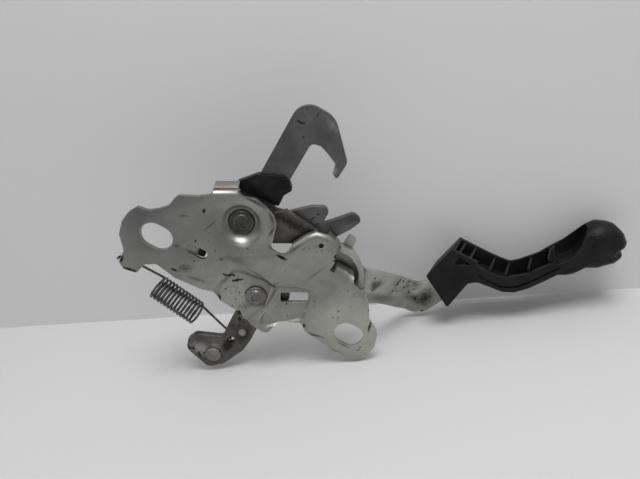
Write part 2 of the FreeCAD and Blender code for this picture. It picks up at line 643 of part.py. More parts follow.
def make_sleeve():
    """Moulded sleeve: two cheeks joined by walls beside the shank, with a small boss in front."""
    body = doc.addObject("PartDesign::Body", "hook_sleeve")
    total = "Sizes.hook_thickness + 2 * Sizes.sleeve_wall"
    add_slab(body, "sleeve_block", [rounded(SLEEVE_OUTLINE)], "Sizes.hook_face - Sizes.sleeve_wall",
             total)
    gap = size["sleeve_clearance"]
    cavity = [
        by_hook(-11.4 - gap, 8.0, 0.2), by_hook(-6.6 - gap, 15.0, 0.4), by_hook(-3.75 - gap, 21.0, 4),
        by_hook(-3.75 - gap, 36.0, 0.2), by_hook(11.6 + gap, 36.0, 0.2), by_hook(11.6 + gap, 8.0, 0.2),
    ]
    cut_slab(body, "shank_slot", [rounded(cavity)], "Sizes.hook_face - Sizes.sleeve_clearance",
             "Sizes.hook_thickness + 2 * Sizes.sleeve_clearance")
    add_slab(body, "sleeve_boss", [ring(hook_pivot.x - 3.0, hook_pivot.z + 19.6, 2.2)],
             "Sizes.hook_face - Sizes.sleeve_wall - 0.8", "1.6")
    return keep(body, "hook_sleeve")


make_sleeve()

# Hand lever: the plan path of the sheet, and its front outline
def sheet_path(points, thickness):
    """Closed plan outline of bent sheet that follows a path of (x, depth) points."""
    path = [Vector(x, y, 0) for x, y in points]
    front = []
    back = []
    for index, point in enumerate(path):
        if index == 0:
            along = path[1] - path[0]
        elif index == len(path) - 1:
            along = path[-1] - path[-2]
        else:
            along = (path[index] - path[index - 1]).normalize() + (path[index + 1] - path[index]).normalize()
        along.normalize()
        side = Vector(along.y, -along.x, 0)
        stretch = 1.0
        if 0 < index < len(path) - 1:
            run = (path[index + 1] - path[index]).normalize()
            stretch = 1.0 / max(0.5, abs(along.dot(run)))
        front.append(point)
        back.append(point - side * (thickness * stretch))
    return front + back[::-1]


LEVER_OUTLINE = [
    by_lever(-8.8, -7.0, 7), by_lever(-8.8, 9.0, 3), by_lever(-9.2, 21.6, 1.5),
    by_lever(-7.5, 21.8, 0.4), by_lever(-7.3, 28.9, 0.8), by_lever(-2.6, 28.2, 0.8),
    by_lever(-1.9, 21.9, 0.4), by_lever(5.3, 18.8, 4), by_lever(9.8, 15.6, 3),
    by_lever(20.0, 17.4, 5), by_lever(34.5, 15.9, 8), by_grip(-8.7, 14.0, 5),
    by_grip(-3.5, 17.0, 4), by_grip(-1.0, 30.0, 4), by_grip(-0.5, 44.0, 3),
    by_grip(13.5, 41.0, 3), by_grip(14.5, 16.0, 6), by_grip(8.1, -0.7, 7),
    by_grip(1.0, -5.6, 6), by_grip(-11.5, -6.8, 6), by_lever(33.2, -4.4, 8),
    by_lever(9.0, -9.6, 6),
]


def make_hand_lever():
    """Bent sheet lever: the swept sheet seen from above, kept only inside its front outline."""
    thickness = size["lever_thickness"]
    face_depth = size["lever_face"]
    reach = lever_pivot.x + size["arm_reach"]
    sweep = size["arm_sweep"]
    plan = [(lever_pivot.x - 14, face_depth), (lever_pivot.x + 16, face_depth),
            (lever_pivot.x + 22, face_depth + 2.6), (reach - 12.0, face_depth + sweep - 8.0),
            (reach - 5.0, tongue_face), (reach + 20.0, tongue_face)]
    corners = sheet_path(plan, thickness)
    plan_face = Part.Face(Part.makePolygon(corners + [corners[0]]))
    plan_solid = extruded("lever_plan", plan_face, Vector(0, 0, 1))
    plan_solid.LengthFwd = 120
    plan_solid.LengthRev = 40
    front_solid = extruded("lever_front", outline_face(LEVER_OUTLINE, 0), Vector(0, 1, 0))
    front_solid.LengthFwd = 90
    blank = doc.addObject("Part::Common", "lever_blank")
    blank.Base = plan_solid
    blank.Tool = front_solid
    # Rim turned forward round the hub
    rim_corners = [
        by_lever(-9.0, 21.9, 1), by_lever(-1.0, 22.2, 4), by_lever(5.6, 18.8, 5),
        by_lever(10.6, 14.8, 5), by_lever(13.2, 8.6, 4), by_lever(12.6, 4.2, 1),
        by_lever(10.2, 4.6, 1), by_lever(10.2, 8.2, 4), by_lever(8.2, 12.8, 5),
        by_lever(3.9, 16.5, 5), by_lever(-1.6, 19.4, 4), by_lever(-9.0, 19.3, 1),
    ]
    rim = extruded("lever_rim", outline_face(rim_corners, face_depth - size["rim_height"]),
                   Vector(0, 1, 0))
    rim.setExpression("LengthFwd", "Sizes.rim_height + Sizes.lever_thickness")
    joined = doc.addObject("Part::Fuse", "lever_joined")
    joined.Base = blank
    joined.Tool = rim
    hole = doc.addObject("Part::Cylinder", "lever_pivot_hole")
    hole.setExpression("Radius", "Sizes.pivot_diameter / 2 + Sizes.running_clearance")
    hole.setExpression("Height", "Sizes.lever_thickness + 2")
    hole.Placement = Placement(Vector(lever_pivot.x, face_depth - 1, lever_pivot.z),
                               Rotation(Vector(1, 0, 0), -90))
    lever = doc.addObject("Part::Cut", "hand_lever")
    lever.Base = joined
    lever.Tool = hole
    return keep(lever, "hand_lever")


hand_lever = make_hand_lever()

# Ribbed plastic grip: a channel open along its top, in front of it a bead, at its end a paddle
GRIP_OUTER = [
    by_grip(-10.3, 47.2, 0.8), by_grip(-13.6, 25.2, 1.2), by_grip(10.3, 13.9, 1.2),
    by_grip(11.3, 33.9, 1.5), by_grip(15.8, 37.5, 4), by_grip(24.5, 38.9, 6),
    by_grip(32.9, 40.0, 6), by_grip(39.5, 43.5, 6), by_grip(45.2, 49.9, 8),
    by_grip(51.3, 60.1, 10), by_grip(56.9, 70.7, 8), by_grip(59.7, 76.0, 2),
    by_grip(61.0, 88.0, 2), by_grip(57.3, 98.0, 1), by_grip(54.0, 95.2, 1),
    by_grip(50.7, 86.0, 4), by_grip(44.3, 75.6, 8), by_grip(38.8, 64.0, 8),
    by_grip(31.4, 54.4, 6), by_grip(27.1, 50.3, 6), by_grip(20.3, 49.3, 6),
    by_grip(12.9, 48.5, 6), by_grip(0.8, 47.7, 3),
]
GRIP_HOLLOW = [
    by_grip(-8.1, 58.0, 0.5), by_grip(-8.3, 40.6, 1), by_grip(7.0, 37.6, 2),
    by_grip(14.1, 40.6, 3), by_grip(23.5, 41.6, 5), by_grip(31.9, 42.8, 5),
    by_grip(37.7, 46.0, 5), by_grip(43.1, 52.0, 8), by_grip(48.9, 61.6, 8),
    by_grip(53.1, 71.0, 4), by_grip(50.5, 81.0, 2), by_grip(36.5, 84.0, 1),
    by_grip(20.5, 60.0, 1),
]
FRONT_OPENING = [
    by_grip(7.7, 45.9, 0.5), by_grip(16.9, 46.0, 5), by_grip(23.9, 46.4, 6),
    by_grip(29.9, 49.4, 8), by_grip(38.5, 57.2, 8), by_grip(47.2, 70.8, 8),
    by_grip(49.9, 80.0, 1), by_grip(36.5, 84.0, 1), by_grip(20.5, 60.0, 1),
    by_grip(8.5, 56.0, 0.5),
]
SOCKET_WINDOW = [
    by_grip(-3.5, 45.8, 0.4), by_grip(-3.5, 39.6, 0.4), by_grip(5.9, 45.2, 0.4),
]
CHANNEL_TIP = [
    by_grip(46.0, 72.2, 1), by_grip(50.6, 71.8, 2), by_grip(55.8, 78.5, 4), by_grip(56.0, 86.0, 6),
    by_grip(52.6, 96.0, 1), by_grip(40.0, 98.0, 1), by_grip(38.0, 82.0, 1),
]
BEAD_GROOVE = [
    by_grip(14.0, 42.3, 0.3), by_grip(14.0, 41.0, 0.3), by_grip(22.4, 41.0, 4), by_grip(31.2, 42.1, 5),
    by_grip(38.8, 46.4, 6), by_grip(44.7, 54.9, 8), by_grip(53.4, 70.2, 0.3), by_grip(52.3, 70.9, 0.3),
    by_grip(43.5, 55.8, 8), by_grip(37.6, 47.4, 6), by_grip(30.7, 43.4, 5), by_grip(22.3, 42.3, 4),
]
RIBS = [
    ((-4.7, 39.0), (-4.9, 46.9)), ((3.3, 37.5), (2.7, 47.3)), ((19.5, 40.0), (17.4, 48.0)),
    ((32.5, 42.0), (27.5, 49.8)), ((43.9, 52.6), (37.1, 60.0)), ((52.9, 67.4), (43.1, 71.6)),
]
# Outline of the paddle at its middle depth, and how far it draws in towards its front and back
PADDLE = [
    by_grip(49.1, 76.0, 5), by_grip(53.3, 91.0, 8), by_grip(56.5, 99.9, 6),
    by_grip(60.1, 105.4, 5), by_grip(67.6, 108.6, 6), by_grip(74.9, 107.6, 5),
    by_grip(81.7, 103.6, 2), by_grip(80.5, 98.6, 0.8), by_grip(84.9, 95.9, 1.5),
    by_grip(84.1, 89.9, 3), by_grip(77.2, 81.1, 6), by_grip(69.1, 76.1, 6),
    by_grip(63.1, 67.6, 5), by_grip(55.5, 62.6, 5),
]
PADDLE_STEPS = [(0.02, -7.5), (0.1, -3.6), (0.26, -0.9), (0.5, 0.0), (0.74, -0.9), (0.9, -3.6),
                (0.98, -7.5)]
grip_lean = Vector(size["grip_lean_x"], 0, size["grip_lean_z"])
grip_way = grip_lean + Vector(0, size["grip_depth"], 0)


def leaned_block(label, corners, front, back):
    """An outline taken from one share of the grip's depth to another, along the grip's lean."""
    face = outline_face(corners, grip_front + size["grip_depth"] * front)
    face.translate(grip_lean * front)
    block = extruded(label, face, Vector(grip_way))
    block.LengthFwd = grip_way.Length * (back - front)
    return block


def make_grip():
    """Moulded grip that leans as it goes back, hollowed from above, ribbed, with a round paddle."""
    wall = size["grip_wall"] / size["grip_depth"]
    groove = size["bead_groove"] / size["grip_depth"]
    shell = doc.addObject("Part::Cut", "grip_shell")
    shell.Base = leaned_block("grip_block", GRIP_OUTER, 0.0, 1.0)
    shell.Tool = leaned_block("grip_hollow", GRIP_HOLLOW, wall, 1.0 - wall)
    openings = doc.addObject("Part::MultiFuse", "grip_openings")
    openings.Shapes = [leaned_block("front_opening", FRONT_OPENING, -0.1, 0.5),
                       leaned_block("socket_window", SOCKET_WINDOW, -0.1, 0.5)]
    opened = doc.addObject("Part::Cut", "grip_opened")
    opened.Base = shell
    opened.Tool = openings
    parts = [opened]
    for index, (start, end) in enumerate(RIBS):
        run = Vector(end[0] - start[0], end[1] - start[1], 0).normalize()
        side = Vector(-run.y, run.x, 0) * (size["grip_rib"] / 2)
        foot = Vector(start[0], start[1], 0)
        head = Vector(end[0], end[1], 0)
        corners = []
        for point in (foot + side, foot - side, head - side, head + side):
            corners.append(by_grip(point.x, point.y, 0.2))
        parts.append(leaned_block("grip_rib_%d" % (index + 1), corners, wall * 0.8, 1 - wall * 0.8))
    sections = []
    for index, (share, amount) in enumerate(PADDLE_STEPS):
        section = doc.addObject("Part::Feature", "paddle_section_%d" % (index + 1))
        depth = grip_front + size["grip_depth"] * share
        middle = (by_grip(66.5, 87.0, 0)[0], by_grip(66.5, 87.0, 0)[1])
        section.Shape = outline_face(grown(PADDLE, middle, amount), depth).OuterWire
        sections.append(section)
    paddle = doc.addObject("Part::Loft", "grip_paddle")
    paddle.Sections = sections
    paddle.Solid = True
    paddle.Ruled = True
    parts.append(paddle)
    whole = doc.addObject("Part::MultiFuse", "grip_ribbed")
    whole.Shapes = parts
    # Room for the lever's tongue
    tongue_outline = outline_face(grown(LEVER_OUTLINE, by_grip(-3.5, 20.0, 0)[:2], 0.1),
                               tongue_face - 0.1)
    room = extruded("tongue_room", tongue_outline, Vector(0, 1, 0))
    room.LengthFwd = size["lever_thickness"] + 0.2
    clearances = doc.addObject("Part::MultiFuse", "grip_clearances")
    clearances.Shapes = [room, hand_lever, leaned_block("channel_tip", CHANNEL_TIP, -0.1, 0.8),
                         leaned_block("bead_groove", BEAD_GROOVE, -0.1, groove)]
    grip = doc.addObject("Part::Cut", "grip")
    grip.Base = whole
    grip.Tool = clearances
    return keep(grip, "lever_grip")


make_grip()


def wire_spring(label, axis_start, heading, radius, pitch, turns, phase, wire, ends):
    """A coil of wire in short straight steps, whose ends run on through the end points."""
    steps_per_turn = 12
    turn = Rotation(Vector(0, 0, 1), heading).multiply(Rotation(Vector(0, 0, 1), phase))
    steps = int(round(steps_per_turn * turns))
    coil = []
    for step in range(steps + 1):
        angle = 2 * math.pi * turns * step / steps
        rise = pitch * turns * step / steps
        around = Vector(radius * math.cos(angle), radius * math.sin(angle), rise)
        coil.append(axis_start + turn.multVec(around))
    route = ends[0][::-1] + coil + ends[1]
    section = Part.Wire([Part.Circle(route[0], route[1] - route[0], wire).toShape()])
    spring = doc.addObject("Part::Feature", label)
    spring.Shape = Part.makePolygon(route).makePipeShell([section], True, False, 1)
    return keep(spring, label)


# Coil spring between the plate's lug and the catch
catch_hole = Vector(SPRING_HOLE[0], 0, SPRING_HOLE[1])
wire_radius = size["coil_wire"] / 2
coil_radius = size["coil_outer_diameter"] / 2 - wire_radius
lug_depth = size["plate_thickness"] + wire_radius + 0.3
leg_depth = catch_back + wire_radius + 0.3
coil_depth = size["coil_outer_diameter"] / 2 + 0.2
coil_start = Vector(left(12.6, 0, 0)[0], coil_depth + size["coil_lean"], -31.4)
coil_heading = Vector(catch_hole.x - 22.6, coil_depth, catch_hole.z + 4.4) - coil_start
lug_edge = Vector(left(-12.9, 0, 0)[0], lug_depth, -22.3)
wire_spring("catch_spring", coil_start, coil_heading.normalize(), coil_radius,
            size["coil_length"] / size["coil_turns"], size["coil_turns"], 180.0, wire_radius, [
                [Vector(left(-2.0, 0, 0)[0], lug_depth, -21.7), lug_edge,
                 lug_edge + Vector(0, 1.0 - lug_depth, -0.6)],
                [Vector(catch_hole.x - 2.4, leg_depth, catch_hole.z + 1.2),
                 Vector(catch_hole.x - 0.7, leg_depth, catch_hole.z + 0.4),
                 Vector(catch_hole.x - 0.9, catch_face - 1.0, catch_hole.z + 0.5)],
            ])

# Torsion springs, whose straight legs leave the coil along its tangents
torsion = size["torsion_wire"] / 2


def torsion_spring(label, pivot, front, coil_radius, whole_turns, first_leg, last_leg):
    """Two legs joined by a coil on a pivot's axis; each leg is a list of (dx, dz, depth) points."""
    angles = []
    for leg, side in ((first_leg, -1), (last_leg, 1)):
        away = Vector(leg[0][0], leg[0][1], 0)
        angles.append(math.atan2(away.y, away.x) + side * math.acos(coil_radius / away.Length))
    part_turn = (angles[0] - angles[1]) % (2 * math.pi) / (2 * math.pi)
    turns = whole_turns + part_turn
    centre = pivot + Vector(0, front + torsion, 0)
    legs = []
    for leg in (first_leg, last_leg):
        legs.append([pivot + Vector(dx, depth, dz) for dx, dz, depth in leg])
    return wire_spring(label, centre, Vector(0, 1, 0), coil_radius, torsion_pitch, turns,
                       -math.degrees(angles[0]), torsion, legs)


# Spring of the hook: one leg under the left tab, the other in the hook's hole
hook_coil_front = hook_back + size["face_gap"]
hook_first_depth = hook_coil_front + torsion
hook_last_depth = hook_first_depth + torsion_pitch * (size["torsion_turns"] + 0.15)
torsion_spring("hook_spring", hook_pivot, hook_coil_front, bush_outer + 0.4 + torsion,
               size["torsion_turns"],
               [(-16.4, 5.5, hook_first_depth), (-16.4, 5.5, pad_back)],
               [(8.6, -1.0, hook_last_depth), (8.6, -1.0, size["hook_face"] + 1)])

# Spring of the hand lever: one leg under the flap, the other inside the rim
lever_coil_front = size["plate_thickness"] + 0.6
torsion_spring("lever_spring", lever_pivot, lever_coil_front, shoulder + 0.4 + torsion,
               size["torsion_turns"] - 1,
               [(-4.4, 8.75, lever_coil_front + torsion)],
               [(9.2, 5.4, size["lever_face"] - size["rim_height"] + 1.5)])

doc.recompute()
failed = [thing.Name for thing in doc.Objects if "Invalid" in thing.State or "Error" in thing.State]
if failed:
    raise RuntimeError("failed: " + ", ".join(failed))
for node in nodes:
    if node.Shape.isNull() or not node.Shape.isValid():
        raise RuntimeError("bad shape: " + node.Label)

os.makedirs("parts", exist_ok=True)
for node in nodes:
    node.Shape.exportStep(os.path.join("parts", node.Label + ".step"))
    box = node.Shape.BoundBox
    print("%-20s solids %d  volume %9.1f  x %7.1f %7.1f  y %6.1f %6.1f  z %7.1f %7.1f" % (
        node.Label, len(node.Shape.Solids), node.Shape.Volume, box.XMin, box.XMax, box.YMin, box.YMax,
        box.ZMin, box.ZMax))
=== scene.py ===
# %% [markdown]
# # A hood latch, dressed for a studio photograph
#
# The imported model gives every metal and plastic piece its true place, in metres. This lesson adds
# what a drawing leaves out: rounded stamped edges, wound springs, worn plating and soft light.

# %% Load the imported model
import bpy
import bmesh
import json
import math
from mathutils import Matrix, Vector


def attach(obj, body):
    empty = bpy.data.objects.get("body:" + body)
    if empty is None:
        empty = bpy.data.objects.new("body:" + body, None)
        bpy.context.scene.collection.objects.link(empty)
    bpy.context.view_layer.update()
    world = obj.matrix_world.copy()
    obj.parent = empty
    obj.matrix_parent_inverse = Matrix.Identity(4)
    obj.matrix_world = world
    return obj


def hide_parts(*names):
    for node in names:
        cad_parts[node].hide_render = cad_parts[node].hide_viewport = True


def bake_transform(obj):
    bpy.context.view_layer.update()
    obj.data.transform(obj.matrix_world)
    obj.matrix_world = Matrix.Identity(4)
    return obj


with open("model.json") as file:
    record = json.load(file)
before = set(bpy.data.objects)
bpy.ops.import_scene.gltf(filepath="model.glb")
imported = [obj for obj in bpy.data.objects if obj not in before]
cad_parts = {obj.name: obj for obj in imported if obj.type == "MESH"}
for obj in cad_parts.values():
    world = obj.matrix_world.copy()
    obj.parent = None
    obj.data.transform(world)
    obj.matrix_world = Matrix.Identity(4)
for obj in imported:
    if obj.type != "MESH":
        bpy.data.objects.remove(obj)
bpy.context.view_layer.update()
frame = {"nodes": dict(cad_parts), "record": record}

bpy.context.scene.view_settings.view_transform = "Standard"
print("pieces from the drawing:", len(frame["nodes"]))

# %% [markdown]
# ## The camera
#
# The photograph was taken from close by, a little above the latch and with the plate turned about
# 30 degrees. A camera is only a place, a direction and a roll, so its matrix is written from three
# unit vectors: to the right, up, and back towards the photographer.

# %% Place the camera
camera_place = Vector((-0.03495, -0.24661, 0.12853))
view_right = Vector((0.86133, 0.0, 0.50804))
view_up = Vector((-0.47104, 0.37461, 0.79862))
view_back = view_right.cross(view_up)
latch_camera = bpy.data.cameras.new("latch_camera")
latch_camera.sensor_width = 36.0
latch_camera.lens = 28.125
latch_camera.clip_start = 0.01
camera_rig = bpy.data.objects.new("latch_camera", latch_camera)
bpy.context.scene.collection.objects.link(camera_rig)
turned = Matrix((view_right, view_up, view_back)).transposed().to_4x4()
camera_rig.matrix_world = Matrix.Translation(camera_place) @ turned
bpy.context.scene.camera = camera_rig
print("camera stands", round(camera_place.length, 3), "m from the plate's middle")

# %% [markdown]
# ## Shared effects as shader node groups
#
# Used metal is never one colour. Four effects turn up in several finishes here, so each is built
# once as a node group: cloudy mottling with chips, wear along edges, fine scratches, and stains at
# chosen places, which also lay painted shade and painted highlights. A group puts out masks and
# values only, and each finish mixes its own colours with them.

# %% Small helpers for node trees
def add_node(tree, kind, **settings):
    """Adds one node; settings are its properties or, for names that are sockets, their values."""
    node = tree.nodes.new(kind)
    for name, value in settings.items():
        if hasattr(node, name):
            setattr(node, name, value)
        else:
            node.inputs[name.replace("_", " ")].default_value = value
    return node


def new_effect(name, inputs, outputs):
    """An empty shader group with float inputs and outputs."""
    tree = bpy.data.node_groups.new(name, "ShaderNodeTree")
    for label, value in inputs:
        socket = tree.interface.new_socket(label, in_out="INPUT", socket_type="NodeSocketFloat")
        socket.default_value = value
    for label in outputs:
        tree.interface.new_socket(label, in_out="OUTPUT", socket_type="NodeSocketFloat")
    return tree, tree.nodes.new("NodeGroupInput"), tree.nodes.new("NodeGroupOutput")


def ramp_between(tree, value, low, high):
    """Stretches a value so that low becomes 0 and high becomes 1."""
    stretch = add_node(tree, "ShaderNodeMapRange")
    stretch.clamp = True
    stretch.inputs["From Min"].default_value = low
    stretch.inputs["From Max"].default_value = high
    tree.links.new(value, stretch.inputs["Value"])
    return stretch.outputs["Result"]

# %% [markdown]
# ### Mottling, chips and grain
#
# Noise at three sizes: clouds a centimetre across for uneven plating, islands of one or two
# millimetres where the plating has gone, and a fine grain that the light catches.

# %% Build the mottling group
mottling, m_in, m_out = new_effect(
    "mottled_plating", [("Cloud Scale", 60.0), ("Chip Scale", 420.0), ("Chip Level", 0.7)],
    ["Cloud", "Chips", "Grain"])
place = add_node(mottling, "ShaderNodeTexCoord")
cloud = add_node(mottling, "ShaderNodeTexNoise", Detail=6.0, Roughness=0.62)
chip = add_node(mottling, "ShaderNodeTexNoise", Detail=5.0, Roughness=0.6)
patch = add_node(mottling, "ShaderNodeTexNoise", Scale=70.0, Detail=2.0)
grain = add_node(mottling, "ShaderNodeTexNoise", Scale=2600.0, Detail=3.0)
for noise in (cloud, chip, patch, grain):
    mottling.links.new(place.outputs["Object"], noise.inputs["Vector"])
mottling.links.new(m_in.outputs["Cloud Scale"], cloud.inputs["Scale"])
mottling.links.new(m_in.outputs["Chip Scale"], chip.inputs["Scale"])
both = add_node(mottling, "ShaderNodeMath", operation="MULTIPLY")
mottling.links.new(chip.outputs["Fac"], both.inputs[0])
mottling.links.new(ramp_between(mottling, patch.outputs["Fac"], 0.25, 0.6), both.inputs[1])
over = add_node(mottling, "ShaderNodeMath", operation="SUBTRACT")
mottling.links.new(both.outputs["Value"], over.inputs[0])
mottling.links.new(m_in.outputs["Chip Level"], over.inputs[1])
mottling.links.new(ramp_between(mottling, over.outputs["Value"], 0.0, 0.03), m_out.inputs["Chips"])
mottling.links.new(ramp_between(mottling, cloud.outputs["Fac"], 0.3, 0.7), m_out.inputs["Cloud"])
mottling.links.new(grain.outputs["Fac"], m_out.inputs["Grain"])
print("mottling group:", len(mottling.nodes), "nodes")

# %% [markdown]
# ### Wear along edges
#
# The Bevel node gives the normal that a rounded edge would have. Where it departs from the true
# normal there is an edge, and noise breaks the line up, as handling does.

# %% Build the edge wear group
edge_wear, e_in, e_out = new_effect("edge_wear", [("Amount", 1.0), ("Breakup", 0.5)], ["Mask"])
soft_edge = add_node(edge_wear, "ShaderNodeBevel", samples=6, Radius=0.0009)
true_face = add_node(edge_wear, "ShaderNodeNewGeometry")
compare = add_node(edge_wear, "ShaderNodeVectorMath", operation="DOT_PRODUCT")
edge_wear.links.new(soft_edge.outputs["Normal"], compare.inputs[0])
edge_wear.links.new(true_face.outputs["Normal"], compare.inputs[1])
flip = add_node(edge_wear, "ShaderNodeMath", operation="SUBTRACT")
flip.inputs[0].default_value = 1.0
edge_wear.links.new(compare.outputs["Value"], flip.inputs[1])
edge_place = add_node(edge_wear, "ShaderNodeTexCoord")
edge_noise = add_node(edge_wear, "ShaderNodeTexNoise", Scale=380.0, Detail=4.0)
edge_wear.links.new(edge_place.outputs["Object"], edge_noise.inputs["Vector"])
lifted = add_node(edge_wear, "ShaderNodeMath", operation="SUBTRACT")
edge_wear.links.new(edge_noise.outputs["Fac"], lifted.inputs[0])
edge_wear.links.new(e_in.outputs["Breakup"], lifted.inputs[1])
broken = add_node(edge_wear, "ShaderNodeMath", operation="ADD")
edge_wear.links.new(ramp_between(edge_wear, flip.outputs["Value"], 0.02, 0.16), broken.inputs[0])
edge_wear.links.new(lifted.outputs["Value"], broken.inputs[1])
scaled = add_node(edge_wear, "ShaderNodeMath", operation="MULTIPLY")
edge_wear.links.new(ramp_between(edge_wear, broken.outputs["Value"], 0.45, 0.9), scaled.inputs[0])
edge_wear.links.new(e_in.outputs["Amount"], scaled.inputs[1])
edge_wear.links.new(scaled.outputs["Value"], e_out.inputs["Mask"])
print("edge wear group:", len(edge_wear.nodes), "nodes")

# %% [markdown]
# ### Scratches
#
# Noise squeezed along one direction becomes short lines. Two directions at odds look like the marks
# of years of bolts, spanners and a striker.

# %% Build the scratches group
long_one_way = {"turn": 0.6, "squeeze": (40.0, 900.0, 900.0)}
long_other_way = {"turn": -0.9, "squeeze": (900.0, 900.0, 55.0)}
scratches, s_in, s_out = new_effect("fine_scratches", [("Level", 0.73)], ["Mask"])
scratch_place = add_node(scratches, "ShaderNodeTexCoord")
lines = []
for direction in (long_one_way, long_other_way):
    squash = add_node(scratches, "ShaderNodeMapping")
    squash.inputs["Rotation"].default_value = (0.0, direction["turn"], 0.0)
    squash.inputs["Scale"].default_value = direction["squeeze"]
    scratches.links.new(scratch_place.outputs["Object"], squash.inputs["Vector"])
    line = add_node(scratches, "ShaderNodeTexNoise", Scale=1.0, Detail=3.0)
    scratches.links.new(squash.outputs["Vector"], line.inputs["Vector"])
    lines.append(line)
most = add_node(scratches, "ShaderNodeMath", operation="MAXIMUM")
scratches.links.new(lines[0].outputs["Fac"], most.inputs[0])
scratches.links.new(lines[1].outputs["Fac"], most.inputs[1])
above = add_node(scratches, "ShaderNodeMath", operation="SUBTRACT")
scratches.links.new(most.outputs["Value"], above.inputs[0])
scratches.links.new(s_in.outputs["Level"], above.inputs[1])
scratches.links.new(ramp_between(scratches, above.outputs["Value"], 0.0, 0.05), s_out.inputs["Mask"])
print("scratches group:", len(scratches.nodes), "nodes")

# %% [markdown]
# ### Stains, painted shade and painted highlights at chosen places
#
# Clouds and chips fall anywhere, but grime gathers where it always does: round a rivet, under a tab.
# This group makes one ragged oval at a place on the plate, whatever its depth. The same ovals also
# lay painted shade, such as the dark band along the throat's lip, and painted highlights.

# %% Build the stain group
patch_maker, p_in, p_out = new_effect(
    "placed_patch", [("X", 0.0), ("Z", 0.0), ("Wide", 0.005), ("High", 0.005), ("Tilt", 0.0),
                     ("Ragged", 1.0), ("Soft", 0.25)], ["Mask"])
stain_place = add_node(patch_maker, "ShaderNodeTexCoord")
centre = add_node(patch_maker, "ShaderNodeCombineXYZ")
patch_maker.links.new(p_in.outputs["X"], centre.inputs["X"])
patch_maker.links.new(p_in.outputs["Z"], centre.inputs["Z"])
offset = add_node(patch_maker, "ShaderNodeVectorMath", operation="SUBTRACT")
patch_maker.links.new(stain_place.outputs["Object"], offset.inputs[0])
patch_maker.links.new(centre.outputs["Vector"], offset.inputs[1])
spun = add_node(patch_maker, "ShaderNodeVectorRotate", rotation_type="Y_AXIS")
patch_maker.links.new(offset.outputs["Vector"], spun.inputs["Vector"])
patch_maker.links.new(p_in.outputs["Tilt"], spun.inputs["Angle"])
extent = add_node(patch_maker, "ShaderNodeCombineXYZ", Y=1.0)
patch_maker.links.new(p_in.outputs["Wide"], extent.inputs["X"])
patch_maker.links.new(p_in.outputs["High"], extent.inputs["Z"])
ratio = add_node(patch_maker, "ShaderNodeVectorMath", operation="DIVIDE")
patch_maker.links.new(spun.outputs["Vector"], ratio.inputs[0])
patch_maker.links.new(extent.outputs["Vector"], ratio.inputs[1])
away = add_node(patch_maker, "ShaderNodeVectorMath", operation="LENGTH")
patch_maker.links.new(ratio.outputs["Vector"], away.inputs[0])
stain_noise = add_node(patch_maker, "ShaderNodeTexNoise", Scale=900.0, Detail=6.0, Roughness=0.72)
patch_maker.links.new(stain_place.outputs["Object"], stain_noise.inputs["Vector"])
centred = add_node(patch_maker, "ShaderNodeMath", operation="SUBTRACT")
patch_maker.links.new(stain_noise.outputs["Fac"], centred.inputs[0])
centred.inputs[1].default_value = 0.5
ragged = add_node(patch_maker, "ShaderNodeMath", operation="MULTIPLY_ADD")
patch_maker.links.new(centred.outputs["Value"], ragged.inputs[0])
patch_maker.links.new(p_in.outputs["Ragged"], ragged.inputs[1])
patch_maker.links.new(away.outputs["Value"], ragged.inputs[2])
inward = add_node(patch_maker, "ShaderNodeMath", operation="SUBTRACT")
inward.inputs[0].default_value = 1.0
patch_maker.links.new(ragged.outputs["Value"], inward.inputs[1])
eased = add_node(patch_maker, "ShaderNodeMath", operation="DIVIDE", use_clamp=True)
patch_maker.links.new(inward.outputs["Value"], eased.inputs[0])
patch_maker.links.new(p_in.outputs["Soft"], eased.inputs[1])
patch_maker.links.new(eased.outputs["Value"], p_out.inputs["Mask"])
print("stain group:", len(patch_maker.nodes), "nodes")

# %% [markdown]
# ## Finishes
#
# A finish is built in layers, as the grime on the latch was: the plating first, then scratches and
# painted shade in the creases, then stains. Each layer covers the one below it only where its mask
# is white.

# %% Lay one colour over another
def mix_over(tree, under, over, mask):
    """Lays one colour over another where the mask is white."""
    mix = add_node(tree, "ShaderNodeMix", data_type="RGBA")
    tree.links.new(mask, mix.inputs["Factor"])
    for value, socket in ((under, mix.inputs["A"]), (over, mix.inputs["B"])):
        if isinstance(value, tuple):
            socket.default_value = (*value, 1.0)
        else:
            tree.links.new(value, socket)
    return mix.outputs["Result"]

# %% [markdown]
# A stain is one row of a list: its middle on the plate in millimetres, its half width and half
# height, its tilt in degrees, how ragged and how soft its rim is, and its tone. The rows are laid in
# order, so a later one covers an earlier one.

# %% Lay a list of stains
def lay_stains_and_shading(tree, colour, stains_and_shading):
    """Lays stains, painted shade and painted highlights over a colour; each is (x mm, z mm, wide mm,
    high mm, tilt, ragged, soft, tone).
    """
    for x, z, wide, high, tilt, ragged, soft, tone in stains_and_shading:
        spot = add_node(tree, "ShaderNodeGroup", node_tree=patch_maker)
        spot.inputs["X"].default_value = x / 1000.0
        spot.inputs["Z"].default_value = z / 1000.0
        spot.inputs["Wide"].default_value = wide / 1000.0
        spot.inputs["High"].default_value = high / 1000.0
        spot.inputs["Tilt"].default_value = math.radians(tilt)
        spot.inputs["Ragged"].default_value = ragged
        spot.inputs["Soft"].default_value = soft
        colour = mix_over(tree, colour, tone, spot.outputs["Mask"])
    return colour
